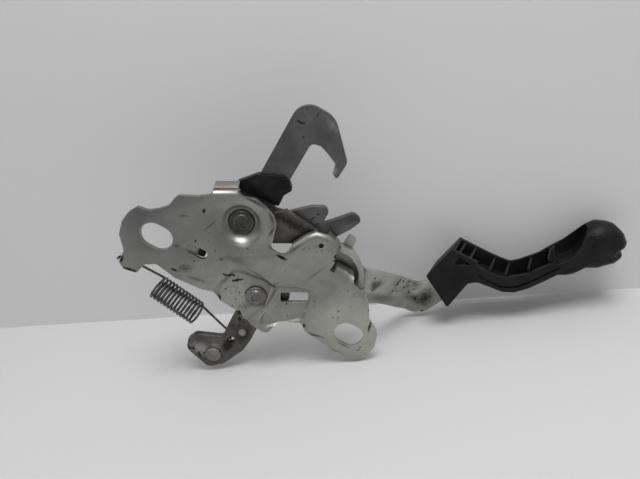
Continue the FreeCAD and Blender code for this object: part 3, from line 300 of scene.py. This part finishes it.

# %% [markdown]
# ### The recipe for coated steel
#
# Every metal here is plated or phosphated steel, so one recipe serves: a light and a dark tone mixed
# by the clouds, then scratches, painted shade in the creases, stains, bare metal at the edges and
# chips. The numbers make the difference between pale zinc, a worn catch and a spring. The painted
# shade follows the Ambient Occlusion node, which is dark wherever other metal stands close.

# %% Coat the steel
def coated_steel(name, light, dark, chips, bare, metallic, rough, cloud_scale, chip_level,
                 edge_amount, bump, stains_and_shading=()):
    """A used metal finish with its own tones, chip level, roughness, painted crease shade and placed
    stains, some of them painted shade and light.
    """
    finish = bpy.data.materials.new(name)
    finish.use_nodes = True
    tree = finish.node_tree
    surface = tree.nodes["Principled BSDF"]
    surface.inputs["Metallic"].default_value = metallic
    plating = add_node(tree, "ShaderNodeGroup", node_tree=mottling)
    plating.inputs["Cloud Scale"].default_value = cloud_scale
    plating.inputs["Chip Level"].default_value = chip_level
    marks = add_node(tree, "ShaderNodeGroup", node_tree=scratches)
    edges = add_node(tree, "ShaderNodeGroup", node_tree=edge_wear)
    edges.inputs["Amount"].default_value = edge_amount
    body_colour = mix_over(tree, dark, light, plating.outputs["Cloud"])
    scratched = mix_over(tree, body_colour, bare, marks.outputs["Mask"])
    # Painted shade: the Ambient Occlusion node darkens creases and gaps where other metal stands
    # close.
    crease = add_node(tree, "ShaderNodeAmbientOcclusion", samples=6, Distance=0.0035)
    crease_shade_mask = ramp_between(tree, crease.outputs["AO"], 0.85, 0.45)
    crease_shaded = mix_over(tree, scratched, chips, crease_shade_mask)
    stained_and_shaded = lay_stains_and_shading(tree, crease_shaded, stains_and_shading)
    worn = mix_over(tree, stained_and_shaded, bare, edges.outputs["Mask"])
    chipped = mix_over(tree, worn, chips, plating.outputs["Chips"])
    tree.links.new(chipped, surface.inputs["Base Color"])
    spread = add_node(tree, "ShaderNodeMapRange")
    spread.inputs["To Min"].default_value = rough + 0.12
    spread.inputs["To Max"].default_value = rough - 0.08
    tree.links.new(plating.outputs["Cloud"], spread.inputs["Value"])
    tree.links.new(spread.outputs["Result"], surface.inputs["Roughness"])
    height = add_node(tree, "ShaderNodeMath", operation="SUBTRACT")
    tree.links.new(plating.outputs["Grain"], height.inputs[0])
    tree.links.new(plating.outputs["Chips"], height.inputs[1])
    relief = add_node(tree, "ShaderNodeBump", Strength=bump, Distance=0.0003)
    tree.links.new(height.outputs["Value"], relief.inputs["Height"])
    tree.links.new(relief.outputs["Normal"], surface.inputs["Normal"])
    return finish

# %% [markdown]
# ### Where the grime sits
#
# The photograph shows grease round the rivets, dark lines along the cut edges and scuffs in the middle
# of the plate. Each is a stain or two, placed in the plate's own millimetres: x runs from the left
# slot to the right one, z up the throat. The same ovals paint light and shade too: wide soft ones grey
# the plate's left end as painted shade and brighten its right end as painted light, and small ones lay
# painted highlights on bends and painted shade along the lip, in the louvre and on the lever's arm.

# %% Name the tones of grime and of painted light and shade
# Black, soot and brown are grime. The two greys are painted shade, the pale tones are painted
# highlights and a painted sheen, and the tan is a painted reflection.
black, soot, brown = (0.015, 0.013, 0.012), (0.09, 0.086, 0.079), (0.16, 0.12, 0.085)
shade_grey, painted_glint, painted_highlight = (0.17, 0.173, 0.169), (0.5, 0.5, 0.48), (0.8, 0.8, 0.78)
painted_rim_light, painted_sheen = (0.52, 0.53, 0.5), (0.5, 0.5, 0.45)
tab_reflection_tan, arm_shade_grey = (0.24, 0.2, 0.165), (0.16, 0.16, 0.145)

# %% [markdown]
# #### The plate
#
# Most of the grime is on the left half, where the hook and the spring throw grease about. Painted
# shade also greys the left end, and painted light brightens the right end.

# %% List the stains of the plate
plate_grime_and_shading = [
    # Painted shade on the left end and round the dish, and the ring of grease round the hook's rivet
    (-68.0, 6.0, 46.0, 40.0, 0.0, 0.5, 0.9, shade_grey),
    (-36.0, 22.0, 20.0, 20.0, 0.0, 0.8, 1.4, shade_grey),
    (-24.6, 29.0, 8.3, 8.1, 0.0, 0.3, 0.3, soot),
    (-24.6, 29.0, 7.4, 7.2, 0.0, 0.15, 0.12, black),
    # Painted light: a sheen on the right end, and a painted highlight on the lower slope of the dish
    (64.0, 2.0, 34.0, 26.0, 0.0, 0.6, 1.4, painted_sheen),
    (-19.6, 20.2, 5.0, 3.6, 0.0, 0.8, 1.2, painted_highlight),
    # Spots and scuffs between the left slot and the dish
    (-44.4, 25.8, 0.9, 1.9, 20.0, 1.6, 0.5, black),
    (-52.7, 17.8, 4.6, 1.0, 30.0, 3.2, 0.9, soot),
    (-48.5, 0.6, 2.4, 1.4, 30.0, 2.6, 0.9, soot),
    (-38.3, 19.7, 0.6, 5.0, -20.0, 1.0, 0.7, soot),
    # The upper edge round the dish
    (-24.0, 43.6, 10.0, 1.2, 2.0, 1.8, 0.7, soot),
    (-12.2, 40.2, 5.0, 1.3, -40.0, 1.6, 0.8, soot),
    (-8.6, 33.0, 1.0, 5.0, 0.0, 1.6, 0.8, soot),
    # A painted shadow in the louvre's slot, and chips above the catch's rivet
    (-34.8, 2.9, 3.4, 3.2, 0.0, 0.3, 0.3, black),
    (-16.4, -1.4, 3.8, 0.9, 8.0, 3.8, 0.25, black),
    (-11.2, -2.8, 3.4, 0.9, 40.0, 3.8, 0.3, black),
    (-24.6, 5.7, 2.0, 1.6, 40.0, 2.8, 0.9, brown),
    (-18.0, 9.0, 9.0, 2.6, 10.0, 3.2, 1.6, soot),
    # Rubbed places above the spring, and the lug at its left end
    (-39.1, -9.1, 5.0, 3.0, 30.0, 3.8, 0.9, soot),
    (-43.5, -13.0, 2.6, 1.0, 10.0, 2.6, 0.6, black),
    (-31.0, -12.0, 7.0, 1.6, 10.0, 3.0, 1.2, soot),
    (-66.0, -25.6, 7.0, 1.2, 14.0, 1.6, 0.5, black),
    (-71.0, -21.6, 1.2, 3.0, 0.0, 1.4, 0.5, black),
    (-15.6, -18.6, 2.6, 3.2, 0.0, 1.2, 0.4, black),
    # Painted shade along the throat's lip and its side, and on the slope round the catch's rivet
    (-3.4, 25.6, 3.0, 1.6, 0.0, 0.8, 0.5, black),
    (3.0, 23.2, 4.0, 1.3, 0.0, 1.0, 0.5, black),
    (6.4, 30.4, 1.6, 7.6, -26.0, 0.9, 1.0, soot),
    (-2.0, 7.4, 9.0, 0.8, -6.0, 1.0, 0.9, soot),
    (7.0, 5.6, 0.9, 5.0, -30.0, 1.0, 0.9, soot),
    (1.0, -14.0, 4.0, 7.0, -30.0, 2.0, 1.8, soot),
    # The lower right edge, round the right slot, and the edge above it
    (42.0, -10.4, 9.0, 1.0, 14.0, 2.0, 0.7, soot),
    (56.0, -13.4, 8.0, 0.8, 8.0, 1.8, 0.8, brown),
    (34.6, -8.0, 1.6, 1.6, 0.0, 1.6, 0.5, black),
    (67.4, 10.8, 0.9, 4.6, 20.0, 2.2, 0.6, black),
    (60.8, -7.4, 5.6, 0.8, 0.0, 1.8, 0.7, brown),
    (58.4, 29.4, 1.8, 4.0, 30.0, 1.6, 0.5, soot),
    (60.8, 22.6, 0.8, 5.0, 10.0, 2.0, 0.5, black),
    # A tan painted reflection on the left tab's top face, and faint smears across the middle
    (-41.1, 41.4, 8.0, 2.2, 30.0, 0.8, 0.8, tab_reflection_tan),
    (20.0, 2.6, 3.0, 1.4, 0.0, 2.6, 0.9, soot),
    (30.0, 10.0, 14.0, 8.0, 0.0, 3.4, 3.0, soot),
    (24.0, 24.0, 1.0, 9.0, -20.0, 2.4, 1.6, soot),
    # Painted highlights on the flap's bend and on the dish's upper rim
    (44.0, 32.0, 4.0, 2.6, 30.0, 0.6, 1.0, painted_glint),
    (-24.6, 38.4, 6.4, 2.0, 0.0, 0.8, 1.2, painted_rim_light),
]
print("stains on the plate:", len(plate_grime_and_shading))

# %% [markdown]
# #### The catch, the arm and the hook
#
# The catch is greasy round the cable stud and the spring's hole. The arm of the hand lever is painted
# darker near its bend and along its lower strip, as painted shade. The hook's blade is darkest,
# partly its own worn tone and partly painted shade.

# %% List the stains of the moving pieces
catch_grime = [
    (4.1, -45.6, 4.0, 6.0, 0.0, 1.2, 0.5, black),
    (-12.0, -52.0, 4.0, 2.0, 30.0, 1.6, 1.0, black),
    (-9.0, -56.0, 8.0, 6.0, 0.0, 1.6, 0.9, (0.3, 0.285, 0.255)),
    (9.0, -34.0, 4.0, 8.0, 0.0, 1.6, 0.8, black),
    (-2.0, -50.0, 4.0, 3.0, 0.0, 1.6, 0.8, (0.22, 0.205, 0.18)),
    (7.4, -33.8, 2.6, 2.6, 0.0, 0.2, 0.3, (0.3, 0.29, 0.27)),
    (0.0, 41.0, 14.0, 4.0, 0.0, 2.0, 0.8, black),
    (-0.6, -55.9, 5.6, 5.6, 0.0, 0.6, 0.4, (0.05, 0.045, 0.035)),
]
lever_grime_and_shade = [
    # Painted shade: the arm's lower strip and the place near its bend are darkened.
    (98.0, 24.0, 12.0, 4.0, 0.0, 1.8, 1.0, (0.1, 0.095, 0.085)),
    (72.0, 20.0, 22.0, 4.4, 0.0, 0.9, 0.9, arm_shade_grey),
    (62.0, 29.0, 5.0, 4.0, 0.0, 2.6, 0.6, soot),
    (92.5, 34.1, 6.0, 4.0, -40.0, 1.2, 1.2, (0.15, 0.147, 0.135)),
    (104.0, 28.0, 7.0, 9.0, 0.0, 1.8, 0.8, (0.05, 0.047, 0.045)),
]
hook_grime_and_shade = [
    # The first two darken the blade: partly its own worn tone, partly painted shade.
    (27.0, 58.6, 8.0, 5.0, 40.0, 1.0, 1.2, (0.035, 0.034, 0.034)),
    (20.0, 53.0, 9.0, 6.0, 0.0, 1.0, 1.6, (0.06, 0.058, 0.057)),
    (4.6, 76.0, 2.6, 3.0, 0.0, 1.6, 1.0, (0.3, 0.29, 0.28)),
    (-26.0, 60.0, 7.0, 4.0, 0.0, 1.0, 1.2, soot),
    (-8.0, 96.0, 7.0, 2.0, -20.0, 2.4, 1.2, (0.22, 0.215, 0.21)),
]
print("stains on the moving pieces:", len(catch_grime), len(lever_grime_and_shade), len(hook_grime_and_shade))

# %% [markdown]
# ### The metals of this latch
#
# Each metal is the recipe with its own tones. Zinc is pale and smooth, the lever's arm is duller,
# the catch and the hook are dark and rougher, and the spring wire is dark and glossy. Chips show
# through to dark steel, and edges are rubbed to bare metal.

# %% Mix the plate's and the lever's zinc
zinc = coated_steel(
    "zinc_plate", light=(0.34, 0.345, 0.312), dark=(0.19, 0.192, 0.177),
    chips=(0.03, 0.026, 0.022), bare=(0.62, 0.62, 0.58), metallic=0.8, rough=0.36,
    cloud_scale=36.0, chip_level=0.6, edge_amount=0.75, bump=0.2, stains_and_shading=plate_grime_and_shading)
lever_zinc = coated_steel(
    "lever_zinc", light=(0.45, 0.45, 0.41), dark=(0.28, 0.28, 0.26),
    chips=(0.03, 0.026, 0.022), bare=(0.55, 0.55, 0.52), metallic=0.7, rough=0.44,
    cloud_scale=60.0, chip_level=0.56, edge_amount=0.6, bump=0.25, stains_and_shading=lever_grime_and_shade)
print("zinc:", zinc.name, lever_zinc.name)

# %% Mix the steel of rivets and stud
rivet_steel = coated_steel(
    "rivet_steel", light=(0.2, 0.196, 0.185), dark=(0.085, 0.082, 0.078),
    chips=(0.03, 0.027, 0.025), bare=(0.5, 0.49, 0.47), metallic=0.8, rough=0.38,
    cloud_scale=130.0, chip_level=0.62, edge_amount=0.8, bump=0.2)
stud_steel = coated_steel(
    "stud_steel", light=(0.28, 0.27, 0.25), dark=(0.15, 0.145, 0.135),
    chips=(0.04, 0.035, 0.03), bare=(0.5, 0.49, 0.47), metallic=0.7, rough=0.4,
    cloud_scale=160.0, chip_level=0.62, edge_amount=0.8, bump=0.2)
dark_rivet = coated_steel(
    "dark_rivet", light=(0.09, 0.09, 0.088), dark=(0.035, 0.035, 0.035),
    chips=(0.02, 0.018, 0.017), bare=(0.3, 0.3, 0.3), metallic=0.8, rough=0.38,
    cloud_scale=160.0, chip_level=0.62, edge_amount=0.5, bump=0.2)
print("fasteners:", rivet_steel.name, stud_steel.name, dark_rivet.name)

# %% Mix the steel of catch, hook and springs
dark_steel = coated_steel(
    "dark_steel", light=(0.13, 0.122, 0.112), dark=(0.04, 0.038, 0.036),
    chips=(0.008, 0.0075, 0.007), bare=(0.34, 0.33, 0.31), metallic=0.6, rough=0.44,
    cloud_scale=90.0, chip_level=0.54, edge_amount=0.7, bump=0.4, stains_and_shading=catch_grime)
hook_steel = coated_steel(
    "hook_steel", light=(0.135, 0.134, 0.133), dark=(0.07, 0.069, 0.069),
    chips=(0.02, 0.018, 0.017), bare=(0.3, 0.29, 0.28), metallic=0.6, rough=0.42,
    cloud_scale=70.0, chip_level=0.6, edge_amount=0.7, bump=0.25, stains_and_shading=hook_grime_and_shade)
wire_steel = coated_steel(
    "spring_wire", light=(0.13, 0.126, 0.12), dark=(0.04, 0.038, 0.036),
    chips=(0.02, 0.018, 0.017), bare=(0.4, 0.39, 0.38), metallic=0.85, rough=0.32,
    cloud_scale=200.0, chip_level=0.6, edge_amount=0.3, bump=0.1)
print("dark steels:", dark_steel.name, hook_steel.name, wire_steel.name)

# %% [markdown]
# ### Moulded plastics
#
# The grip and the sleeve are black plastic with a faint grain, grey where hands and stones have
# scuffed the edges. At the far end of the grip a chip has worn through to a brownish tone. The slip
# washers are natural nylon.

# %% Black plastic and nylon
worn_tone = (0.085, 0.06, 0.043)
worn_ragged = 0.012
rim_outside, rim_inside = 0.0075, 0.0055


def worn_through(tree, place, radius):
    """The mask of one ragged spot round a place in space."""
    position = add_node(tree, "ShaderNodeTexCoord")
    ragged = add_node(tree, "ShaderNodeTexNoise", Scale=260.0, Detail=4.0)
    tree.links.new(position.outputs["Object"], ragged.inputs["Vector"])
    reach = add_node(tree, "ShaderNodeVectorMath", operation="DISTANCE")
    reach.inputs[1].default_value = place
    tree.links.new(position.outputs["Object"], reach.inputs[0])
    shifted = add_node(tree, "ShaderNodeMath", operation="MULTIPLY_ADD")
    shifted.inputs[1].default_value = worn_ragged
    tree.links.new(ragged.outputs["Fac"], shifted.inputs[0])
    tree.links.new(reach.outputs["Value"], shifted.inputs[2])
    return ramp_between(tree, shifted.outputs["Value"], radius + rim_outside, radius + rim_inside)


def moulded_plastic(name, colour, scuff, rough, edge_amount, worn_spot=None, worn_radius=0.0032):
    """Plastic with grain, scuffs along its edges and perhaps one worn place."""
    finish = bpy.data.materials.new(name)
    finish.use_nodes = True
    tree = finish.node_tree
    surface = tree.nodes["Principled BSDF"]
    surface.inputs["Specular IOR Level"].default_value = 0.16
    plating = add_node(tree, "ShaderNodeGroup", node_tree=mottling)
    plating.inputs["Cloud Scale"].default_value = 90.0
    plating.inputs["Chip Level"].default_value = 0.47
    edges = add_node(tree, "ShaderNodeGroup", node_tree=edge_wear)
    edges.inputs["Amount"].default_value = edge_amount
    marks = add_node(tree, "ShaderNodeGroup", node_tree=scratches)
    marks.inputs["Level"].default_value = 0.7
    paler = tuple(0.7 * tone + 0.3 * other for tone, other in zip(colour, scuff))
    clouded = mix_over(tree, colour, paler, plating.outputs["Cloud"])
    scuffed = mix_over(tree, clouded, scuff, edges.outputs["Mask"])
    marked = mix_over(tree, scuffed, scuff, marks.outputs["Mask"])
    if worn_spot is not None:
        marked = mix_over(tree, marked, worn_tone, worn_through(tree, worn_spot, worn_radius))
    tree.links.new(marked, surface.inputs["Base Color"])
    spread = add_node(tree, "ShaderNodeMapRange")
    spread.inputs["To Min"].default_value = rough - 0.06
    spread.inputs["To Max"].default_value = rough + 0.1
    tree.links.new(plating.outputs["Cloud"], spread.inputs["Value"])
    tree.links.new(spread.outputs["Result"], surface.inputs["Roughness"])
    relief = add_node(tree, "ShaderNodeBump", Strength=0.2, Distance=0.0002)
    tree.links.new(plating.outputs["Grain"], relief.inputs["Height"])
    tree.links.new(relief.outputs["Normal"], surface.inputs["Normal"])
    return finish

# %% Mix the plastics
grip_end = (0.1765, 0.031, 0.1155)
grip_plastic = moulded_plastic(
    "grip_plastic", colour=(0.004, 0.004, 0.005), scuff=(0.035, 0.033, 0.035), rough=0.44,
    edge_amount=0.5, worn_spot=grip_end)
sleeve_plastic = moulded_plastic(
    "sleeve_plastic", colour=(0.005, 0.005, 0.006), scuff=(0.04, 0.04, 0.042), rough=0.4,
    edge_amount=0.4)
nylon = moulded_plastic(
    "slip_nylon", colour=(0.55, 0.53, 0.46), scuff=(0.3, 0.28, 0.24), rough=0.5, edge_amount=0.2)
print("plastics:", grip_plastic.name, sleeve_plastic.name, nylon.name)

# %% [markdown]
# ### Which finish goes where
#
# A drawn piece keeps its mesh and only gets a finish in its material slot. The hook's rivet looks
# darker than the catch's in the photograph, and it is given a darker steel.

# %% Give each drawn piece its finish
finish_of = {
    "base_plate": zinc, "hand_lever": lever_zinc, "hook_pivot_rivet": dark_rivet,
    "hook_front_bush": rivet_steel, "hook_rear_bush": rivet_steel, "hook_rear_washer": rivet_steel,
    "catch_pivot_rivet": rivet_steel, "catch_rear_washer": rivet_steel,
    "lever_pivot_stud": rivet_steel, "lever_rear_washer": rivet_steel, "cable_stud": stud_steel,
    "hook_slip_washer": nylon, "catch_slip_washer": nylon, "lever_slip_washer": nylon,
    "catch_lever": dark_steel, "safety_hook": hook_steel, "hook_sleeve": sleeve_plastic,
    "lever_grip": grip_plastic, "catch_spring": wire_steel, "hook_spring": wire_steel,
    "lever_spring": wire_steel,
}
for node_name, finish in finish_of.items():
    drawn = frame["nodes"][node_name]
    drawn.data.materials.clear()
    drawn.data.materials.append(finish)
print("finished nodes:", len(finish_of))

# %% [markdown]
# ## Rounded edges on stamped and moulded pieces
#
# A press rounds one side of every cut edge, and a mould rounds all of them. The drawing's edges are
# sharp, so each of these pieces gets a copy whose loose triangles are merged, whose flat areas are
# dissolved into whole faces, and whose sharp edges are then bevelled.

# %% Copy a drawn piece and soften its edges
merge_distance = 2e-6
flat_within = math.radians(1.0)
sharp_beyond = math.radians(32.0)
body_of_node = {node: body for body, nodes in frame["record"]["behaviour"]["bodies"].items()
                for node in nodes}


def softened_copy(node_name, width):
    """A copy of a drawn piece with its sharp edges rounded by a bevel."""
    drawn = frame["nodes"][node_name]
    mesh = drawn.data.copy()
    work = bmesh.new()
    work.from_mesh(mesh)
    bmesh.ops.remove_doubles(work, verts=work.verts, dist=merge_distance)
    bmesh.ops.dissolve_limit(work, angle_limit=flat_within, verts=work.verts, edges=work.edges)
    for face in work.faces:
        face.smooth = True
    work.to_mesh(mesh)
    work.free()
    piece = bpy.data.objects.new(node_name + "_softened", mesh)
    bpy.context.scene.collection.objects.link(piece)
    bevel = piece.modifiers.new("rounded_edges", "BEVEL")
    bevel.width = width
    bevel.segments = 2
    bevel.limit_method = "ANGLE"
    bevel.angle_limit = sharp_beyond
    bevel.use_clamp_overlap = True
    bevel.harden_normals = True
    ready = bpy.context.evaluated_depsgraph_get()
    finished = bpy.data.meshes.new_from_object(piece.evaluated_get(ready))
    piece.modifiers.clear()
    piece.data = finished
    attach(piece, body_of_node[node_name])
    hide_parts(node_name)
    print(piece.name, "has", len(finished.polygons), "faces")

# %% Soften six pieces
rounding_of = {"base_plate": 0.00035, "catch_lever": 0.0005, "safety_hook": 0.0004,
               "hand_lever": 0.0004, "hook_sleeve": 0.0004, "lever_grip": 0.0006}
for node_name, width in rounding_of.items():
    softened_copy(node_name, width)

# %% [markdown]
# ## A wound spring from geometry nodes
#
# A coil is a spiral with a thick line round it. The node group takes the two straight ends as
# curves, rounds their bends, adds the spiral between them, and gives both the wire's thickness. All
# its sizes are named inputs, so that another spring needs no new nodes.

# %% Name the coil maker's inputs
coil_maker = bpy.data.node_groups.new("wound_wire", "GeometryNodeTree")
coil_sockets = {}
for label, kind in (("Ends", "NodeSocketGeometry"), ("Turns", "NodeSocketFloat"),
                    ("Coil Radius", "NodeSocketFloat"), ("Coil Length", "NodeSocketFloat"),
                    ("Wire Radius", "NodeSocketFloat"), ("Bend Radius", "NodeSocketFloat"),
                    ("Start", "NodeSocketVector"), ("Turn", "NodeSocketVector"),
                    ("Finish", "NodeSocketMaterial")):
    coil_sockets[label] = coil_maker.interface.new_socket(label, in_out="INPUT", socket_type=kind)
coil_maker.interface.new_socket("Wire", in_out="OUTPUT", socket_type="NodeSocketGeometry")
print("inputs of the coil maker:", ", ".join(coil_sockets))

# %% Add the coil maker's nodes
w_in = coil_maker.nodes.new("NodeGroupInput")
w_out = coil_maker.nodes.new("NodeGroupOutput")
spiral = coil_maker.nodes.new("GeometryNodeCurveSpiral")
spiral.inputs["Resolution"].default_value = 40
spiral.inputs["Reverse"].default_value = True
seat = coil_maker.nodes.new("GeometryNodeTransform")
bends = coil_maker.nodes.new("GeometryNodeFilletCurve")
both_parts = coil_maker.nodes.new("GeometryNodeJoinGeometry")
wire_circle = coil_maker.nodes.new("GeometryNodeCurvePrimitiveCircle")
wire_circle.inputs["Resolution"].default_value = 12
thicken = coil_maker.nodes.new("GeometryNodeCurveToMesh")
thicken.inputs["Fill Caps"].default_value = True
real = coil_maker.nodes.new("GeometryNodeRealizeInstances")
smooth = coil_maker.nodes.new("GeometryNodeSetShadeSmooth")
dress = coil_maker.nodes.new("GeometryNodeSetMaterial")
for setting, value in (("mode", "POLY"), ("Count", 8), ("Limit Radius", True)):
    if setting in bends.inputs:
        bends.inputs[setting].default_value = value
    else:
        setattr(bends, setting, value)
print("coil maker:", len(coil_maker.nodes), "nodes")

# %% Join the coil maker's nodes
for source, label, target, socket in (
        (w_in, "Turns", spiral, "Rotations"), (w_in, "Coil Radius", spiral, "Start Radius"),
        (w_in, "Coil Radius", spiral, "End Radius"), (w_in, "Coil Length", spiral, "Height"),
        (spiral, "Curve", seat, "Geometry"), (w_in, "Start", seat, "Translation"),
        (w_in, "Turn", seat, "Rotation"), (w_in, "Ends", bends, "Curve"),
        (w_in, "Bend Radius", bends, "Radius"), (seat, "Geometry", both_parts, "Geometry"),
        (bends, "Curve", both_parts, "Geometry"), (both_parts, "Geometry", thicken, "Curve"),
        (w_in, "Wire Radius", wire_circle, "Radius"), (wire_circle, "Curve", thicken, "Profile Curve"),
        (thicken, "Mesh", smooth, "Geometry"), (smooth, "Geometry", real, "Geometry"),
        (real, "Geometry", dress, "Geometry"), (w_in, "Finish", dress, "Material"),
        (dress, "Geometry", w_out, "Wire")):
    coil_maker.links.new(source.outputs[label], target.inputs[socket])
print("coil maker:", len(coil_maker.links), "links")

# %% [markdown]
# ### From modifier to mesh
#
# The group runs as a modifier on a curve object that holds the two ends. Its evaluated result is
# taken as a plain mesh, and the curve object goes, so that only finished wire stays in the scene.

# %% Wind one spring
wire_bend = 0.0012


def wind_spring(name, start, heading, phase, radius, length, turns, wire, ends, finish):
    """A coil along a heading, with the two lists of end points joined to its ends."""
    turn = Vector((0.0, 0.0, 1.0)).rotation_difference(heading.normalized())
    turn = turn @ Matrix.Rotation(math.radians(phase), 3, "Z").to_quaternion()
    last_angle = 2.0 * math.pi * turns
    tips = (start + turn @ Vector((radius, 0.0, 0.0)),
            start + turn @ Vector((radius * math.cos(last_angle), radius * math.sin(last_angle),
                                   length)))
    runs = bpy.data.curves.new(name + "_ends", "CURVE")
    runs.dimensions = "3D"
    for tip, points in zip(tips, ends):
        run = runs.splines.new("POLY")
        run.points.add(len(points))
        for slot, point in zip(run.points, [tip] + points):
            slot.co = (*point, 1.0)
    spring = bpy.data.objects.new(name + "_ends", runs)
    bpy.context.scene.collection.objects.link(spring)
    maker = spring.modifiers.new("wound_wire", "NODES")
    maker.node_group = coil_maker
    for label, value in (("Turns", turns), ("Coil Radius", radius), ("Coil Length", length),
                         ("Wire Radius", wire), ("Bend Radius", wire_bend), ("Start", start),
                         ("Turn", turn.to_euler()), ("Finish", finish)):
        maker[coil_sockets[label].identifier] = value
    ready = bpy.context.evaluated_depsgraph_get()
    mesh = bpy.data.meshes.new_from_object(spring.evaluated_get(ready), depsgraph=ready)
    piece = bpy.data.objects.new(name, mesh)
    bpy.context.scene.collection.objects.link(piece)
    bpy.data.objects.remove(spring)
    print(name, "has", len(mesh.polygons), "faces")
    return piece


def metres(*point):
    """A point given in millimetres."""
    return Vector(point) / 1000.0

# %% [markdown]
# ### The catch's spring
#
# It hangs between a lug on the plate and a hole in the catch, and leans back towards the catch,
# because the catch lies behind the plate. Each end is a straight run of wire with a short hook. The
# wound wire takes the place of the drawn spring, which is hidden.

# %% Hang the spring between plate and catch
coil_begin = metres(-48.4, 7.5, -31.6)
coil_heading = Vector((28.5, 4.0, -7.2))
plate_hook = [metres(-62.0, 3.475, -21.7), metres(-72.9, 3.475, -22.3), metres(-72.9, 1.0, -22.9)]
catch_hook = [metres(1.7, 10.775, -40.1), metres(3.4, 10.775, -40.9), metres(3.2, 4.8, -40.8)]
catch_coil = wind_spring(
    "catch_spring_wound", coil_begin, coil_heading, phase=180.0, radius=0.006625, length=0.0294,
    turns=12.83, wire=0.000675, ends=[plate_hook, catch_hook], finish=wire_steel)
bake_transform(catch_coil)
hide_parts("catch_spring")

# %% [markdown]
# ## Floor, wall and light
#
# The latch stands on the catch's foot and on the plate's lower corner, on a pale table with a pale
# wall just behind. Both sheets are one-sided: seen from behind they are clear, so that other views
# still show the latch.

# %% Two helpers for the stage
def stage_finish(name, colour):
    """A plain pale surface, clear when it is seen from its back."""
    finish = bpy.data.materials.new(name)
    finish.use_nodes = True
    tree = finish.node_tree
    surface = tree.nodes["Principled BSDF"]
    surface.inputs["Base Color"].default_value = (*colour, 1.0)
    surface.inputs["Roughness"].default_value = 0.65
    clear = add_node(tree, "ShaderNodeBsdfTransparent")
    side = add_node(tree, "ShaderNodeNewGeometry")
    choose = add_node(tree, "ShaderNodeMixShader")
    tree.links.new(side.outputs["Backfacing"], choose.inputs["Fac"])
    tree.links.new(surface.outputs["BSDF"], choose.inputs[1])
    tree.links.new(clear.outputs["BSDF"], choose.inputs[2])
    tree.links.new(choose.outputs["Shader"], tree.nodes["Material Output"].inputs["Surface"])
    return finish


def stage_sheet(name, corners, finish):
    """A flat sheet of the stage through four corners."""
    mesh = bpy.data.meshes.new(name)
    mesh.from_pydata([tuple(corner) for corner in corners], [], [(0, 1, 2, 3)])
    mesh.materials.append(finish)
    sheet = bpy.data.objects.new(name, mesh)
    bpy.context.scene.collection.objects.link(sheet)

# %% Lay the table and stand the wall
floor_up = Vector((-0.60922, 0.0, 0.79300))
floor_level = -0.05558
wall_left = Vector((-0.14361, 0.09041, -0.18041))
wall_right = Vector((0.22616, 0.04885, 0.10366))
along_wall = (wall_right - wall_left).normalized()
towards_camera = floor_up.cross(along_wall)
if towards_camera.y > 0:
    towards_camera = -towards_camera
wall_middle = (wall_left + wall_right) / 2
wall_middle += floor_up * (floor_level - wall_middle.dot(floor_up))
reach = 1.6
near_left = wall_middle - along_wall * reach + towards_camera * reach
near_right = wall_middle + along_wall * reach + towards_camera * reach
far_left = wall_middle - along_wall * reach
far_right = wall_middle + along_wall * reach
stage_sheet("pale_table", [near_left, near_right, far_right, far_left],
            stage_finish("table_white", (0.535, 0.532, 0.53)))
stage_sheet("pale_wall", [far_left, far_right, far_right + floor_up * reach,
                          far_left + floor_up * reach],
            stage_finish("wall_white", (0.66, 0.66, 0.665)))
print("table and wall reach", reach, "m")

# %% [markdown]
# ### Soft light
#
# One square lamp hangs high in front of the latch, low enough in power that the pale table does not
# turn pure white. The world adds the light of a pale room: bright from above, dim from below, which
# gives the metal something to reflect and keeps a soft shadow under the latch.

# %% Hang the lamp
lamp_width = 0.45
lamp_watts = 6.5


def soft_lamp(name, place, target, width, watts):
    """A square area lamp that looks at a point."""
    lamp = bpy.data.lights.new(name, "AREA")
    lamp.size = width
    lamp.energy = watts
    holder = bpy.data.objects.new(name, lamp)
    bpy.context.scene.collection.objects.link(holder)
    holder.location = place
    holder.rotation_mode = "QUATERNION"
    holder.rotation_quaternion = (target - place).to_track_quat("-Z", "Y")


latch_middle = Vector((0.03, 0.02, 0.02))
lamp_place = latch_middle + floor_up * 1.0 + Vector((0.1, -0.25, 0.0))
soft_lamp("overhead_lamp", lamp_place, latch_middle, lamp_width, lamp_watts)
print("lamp stands", round((lamp_place - latch_middle).length, 2), "m from the latch")

# %% Make the pale sky
below_tone, above_tone = (0.12, 0.12, 0.125), (0.84, 0.84, 0.85)
sky = bpy.data.worlds.new("pale_sky")
sky.use_nodes = True
sky_tree = sky.node_tree
direction = add_node(sky_tree, "ShaderNodeTexCoord")
height = add_node(sky_tree, "ShaderNodeVectorMath", operation="DOT_PRODUCT")
height.inputs[1].default_value = floor_up
sky_tree.links.new(direction.outputs["Generated"], height.inputs[0])
upward = ramp_between(sky_tree, height.outputs["Value"], 0.0, 0.75)
sky_colour = mix_over(sky_tree, below_tone, above_tone, upward)
sky_tree.links.new(sky_colour, sky_tree.nodes["Background"].inputs["Color"])
bpy.context.scene.world = sky
print("sky:", sky.name)
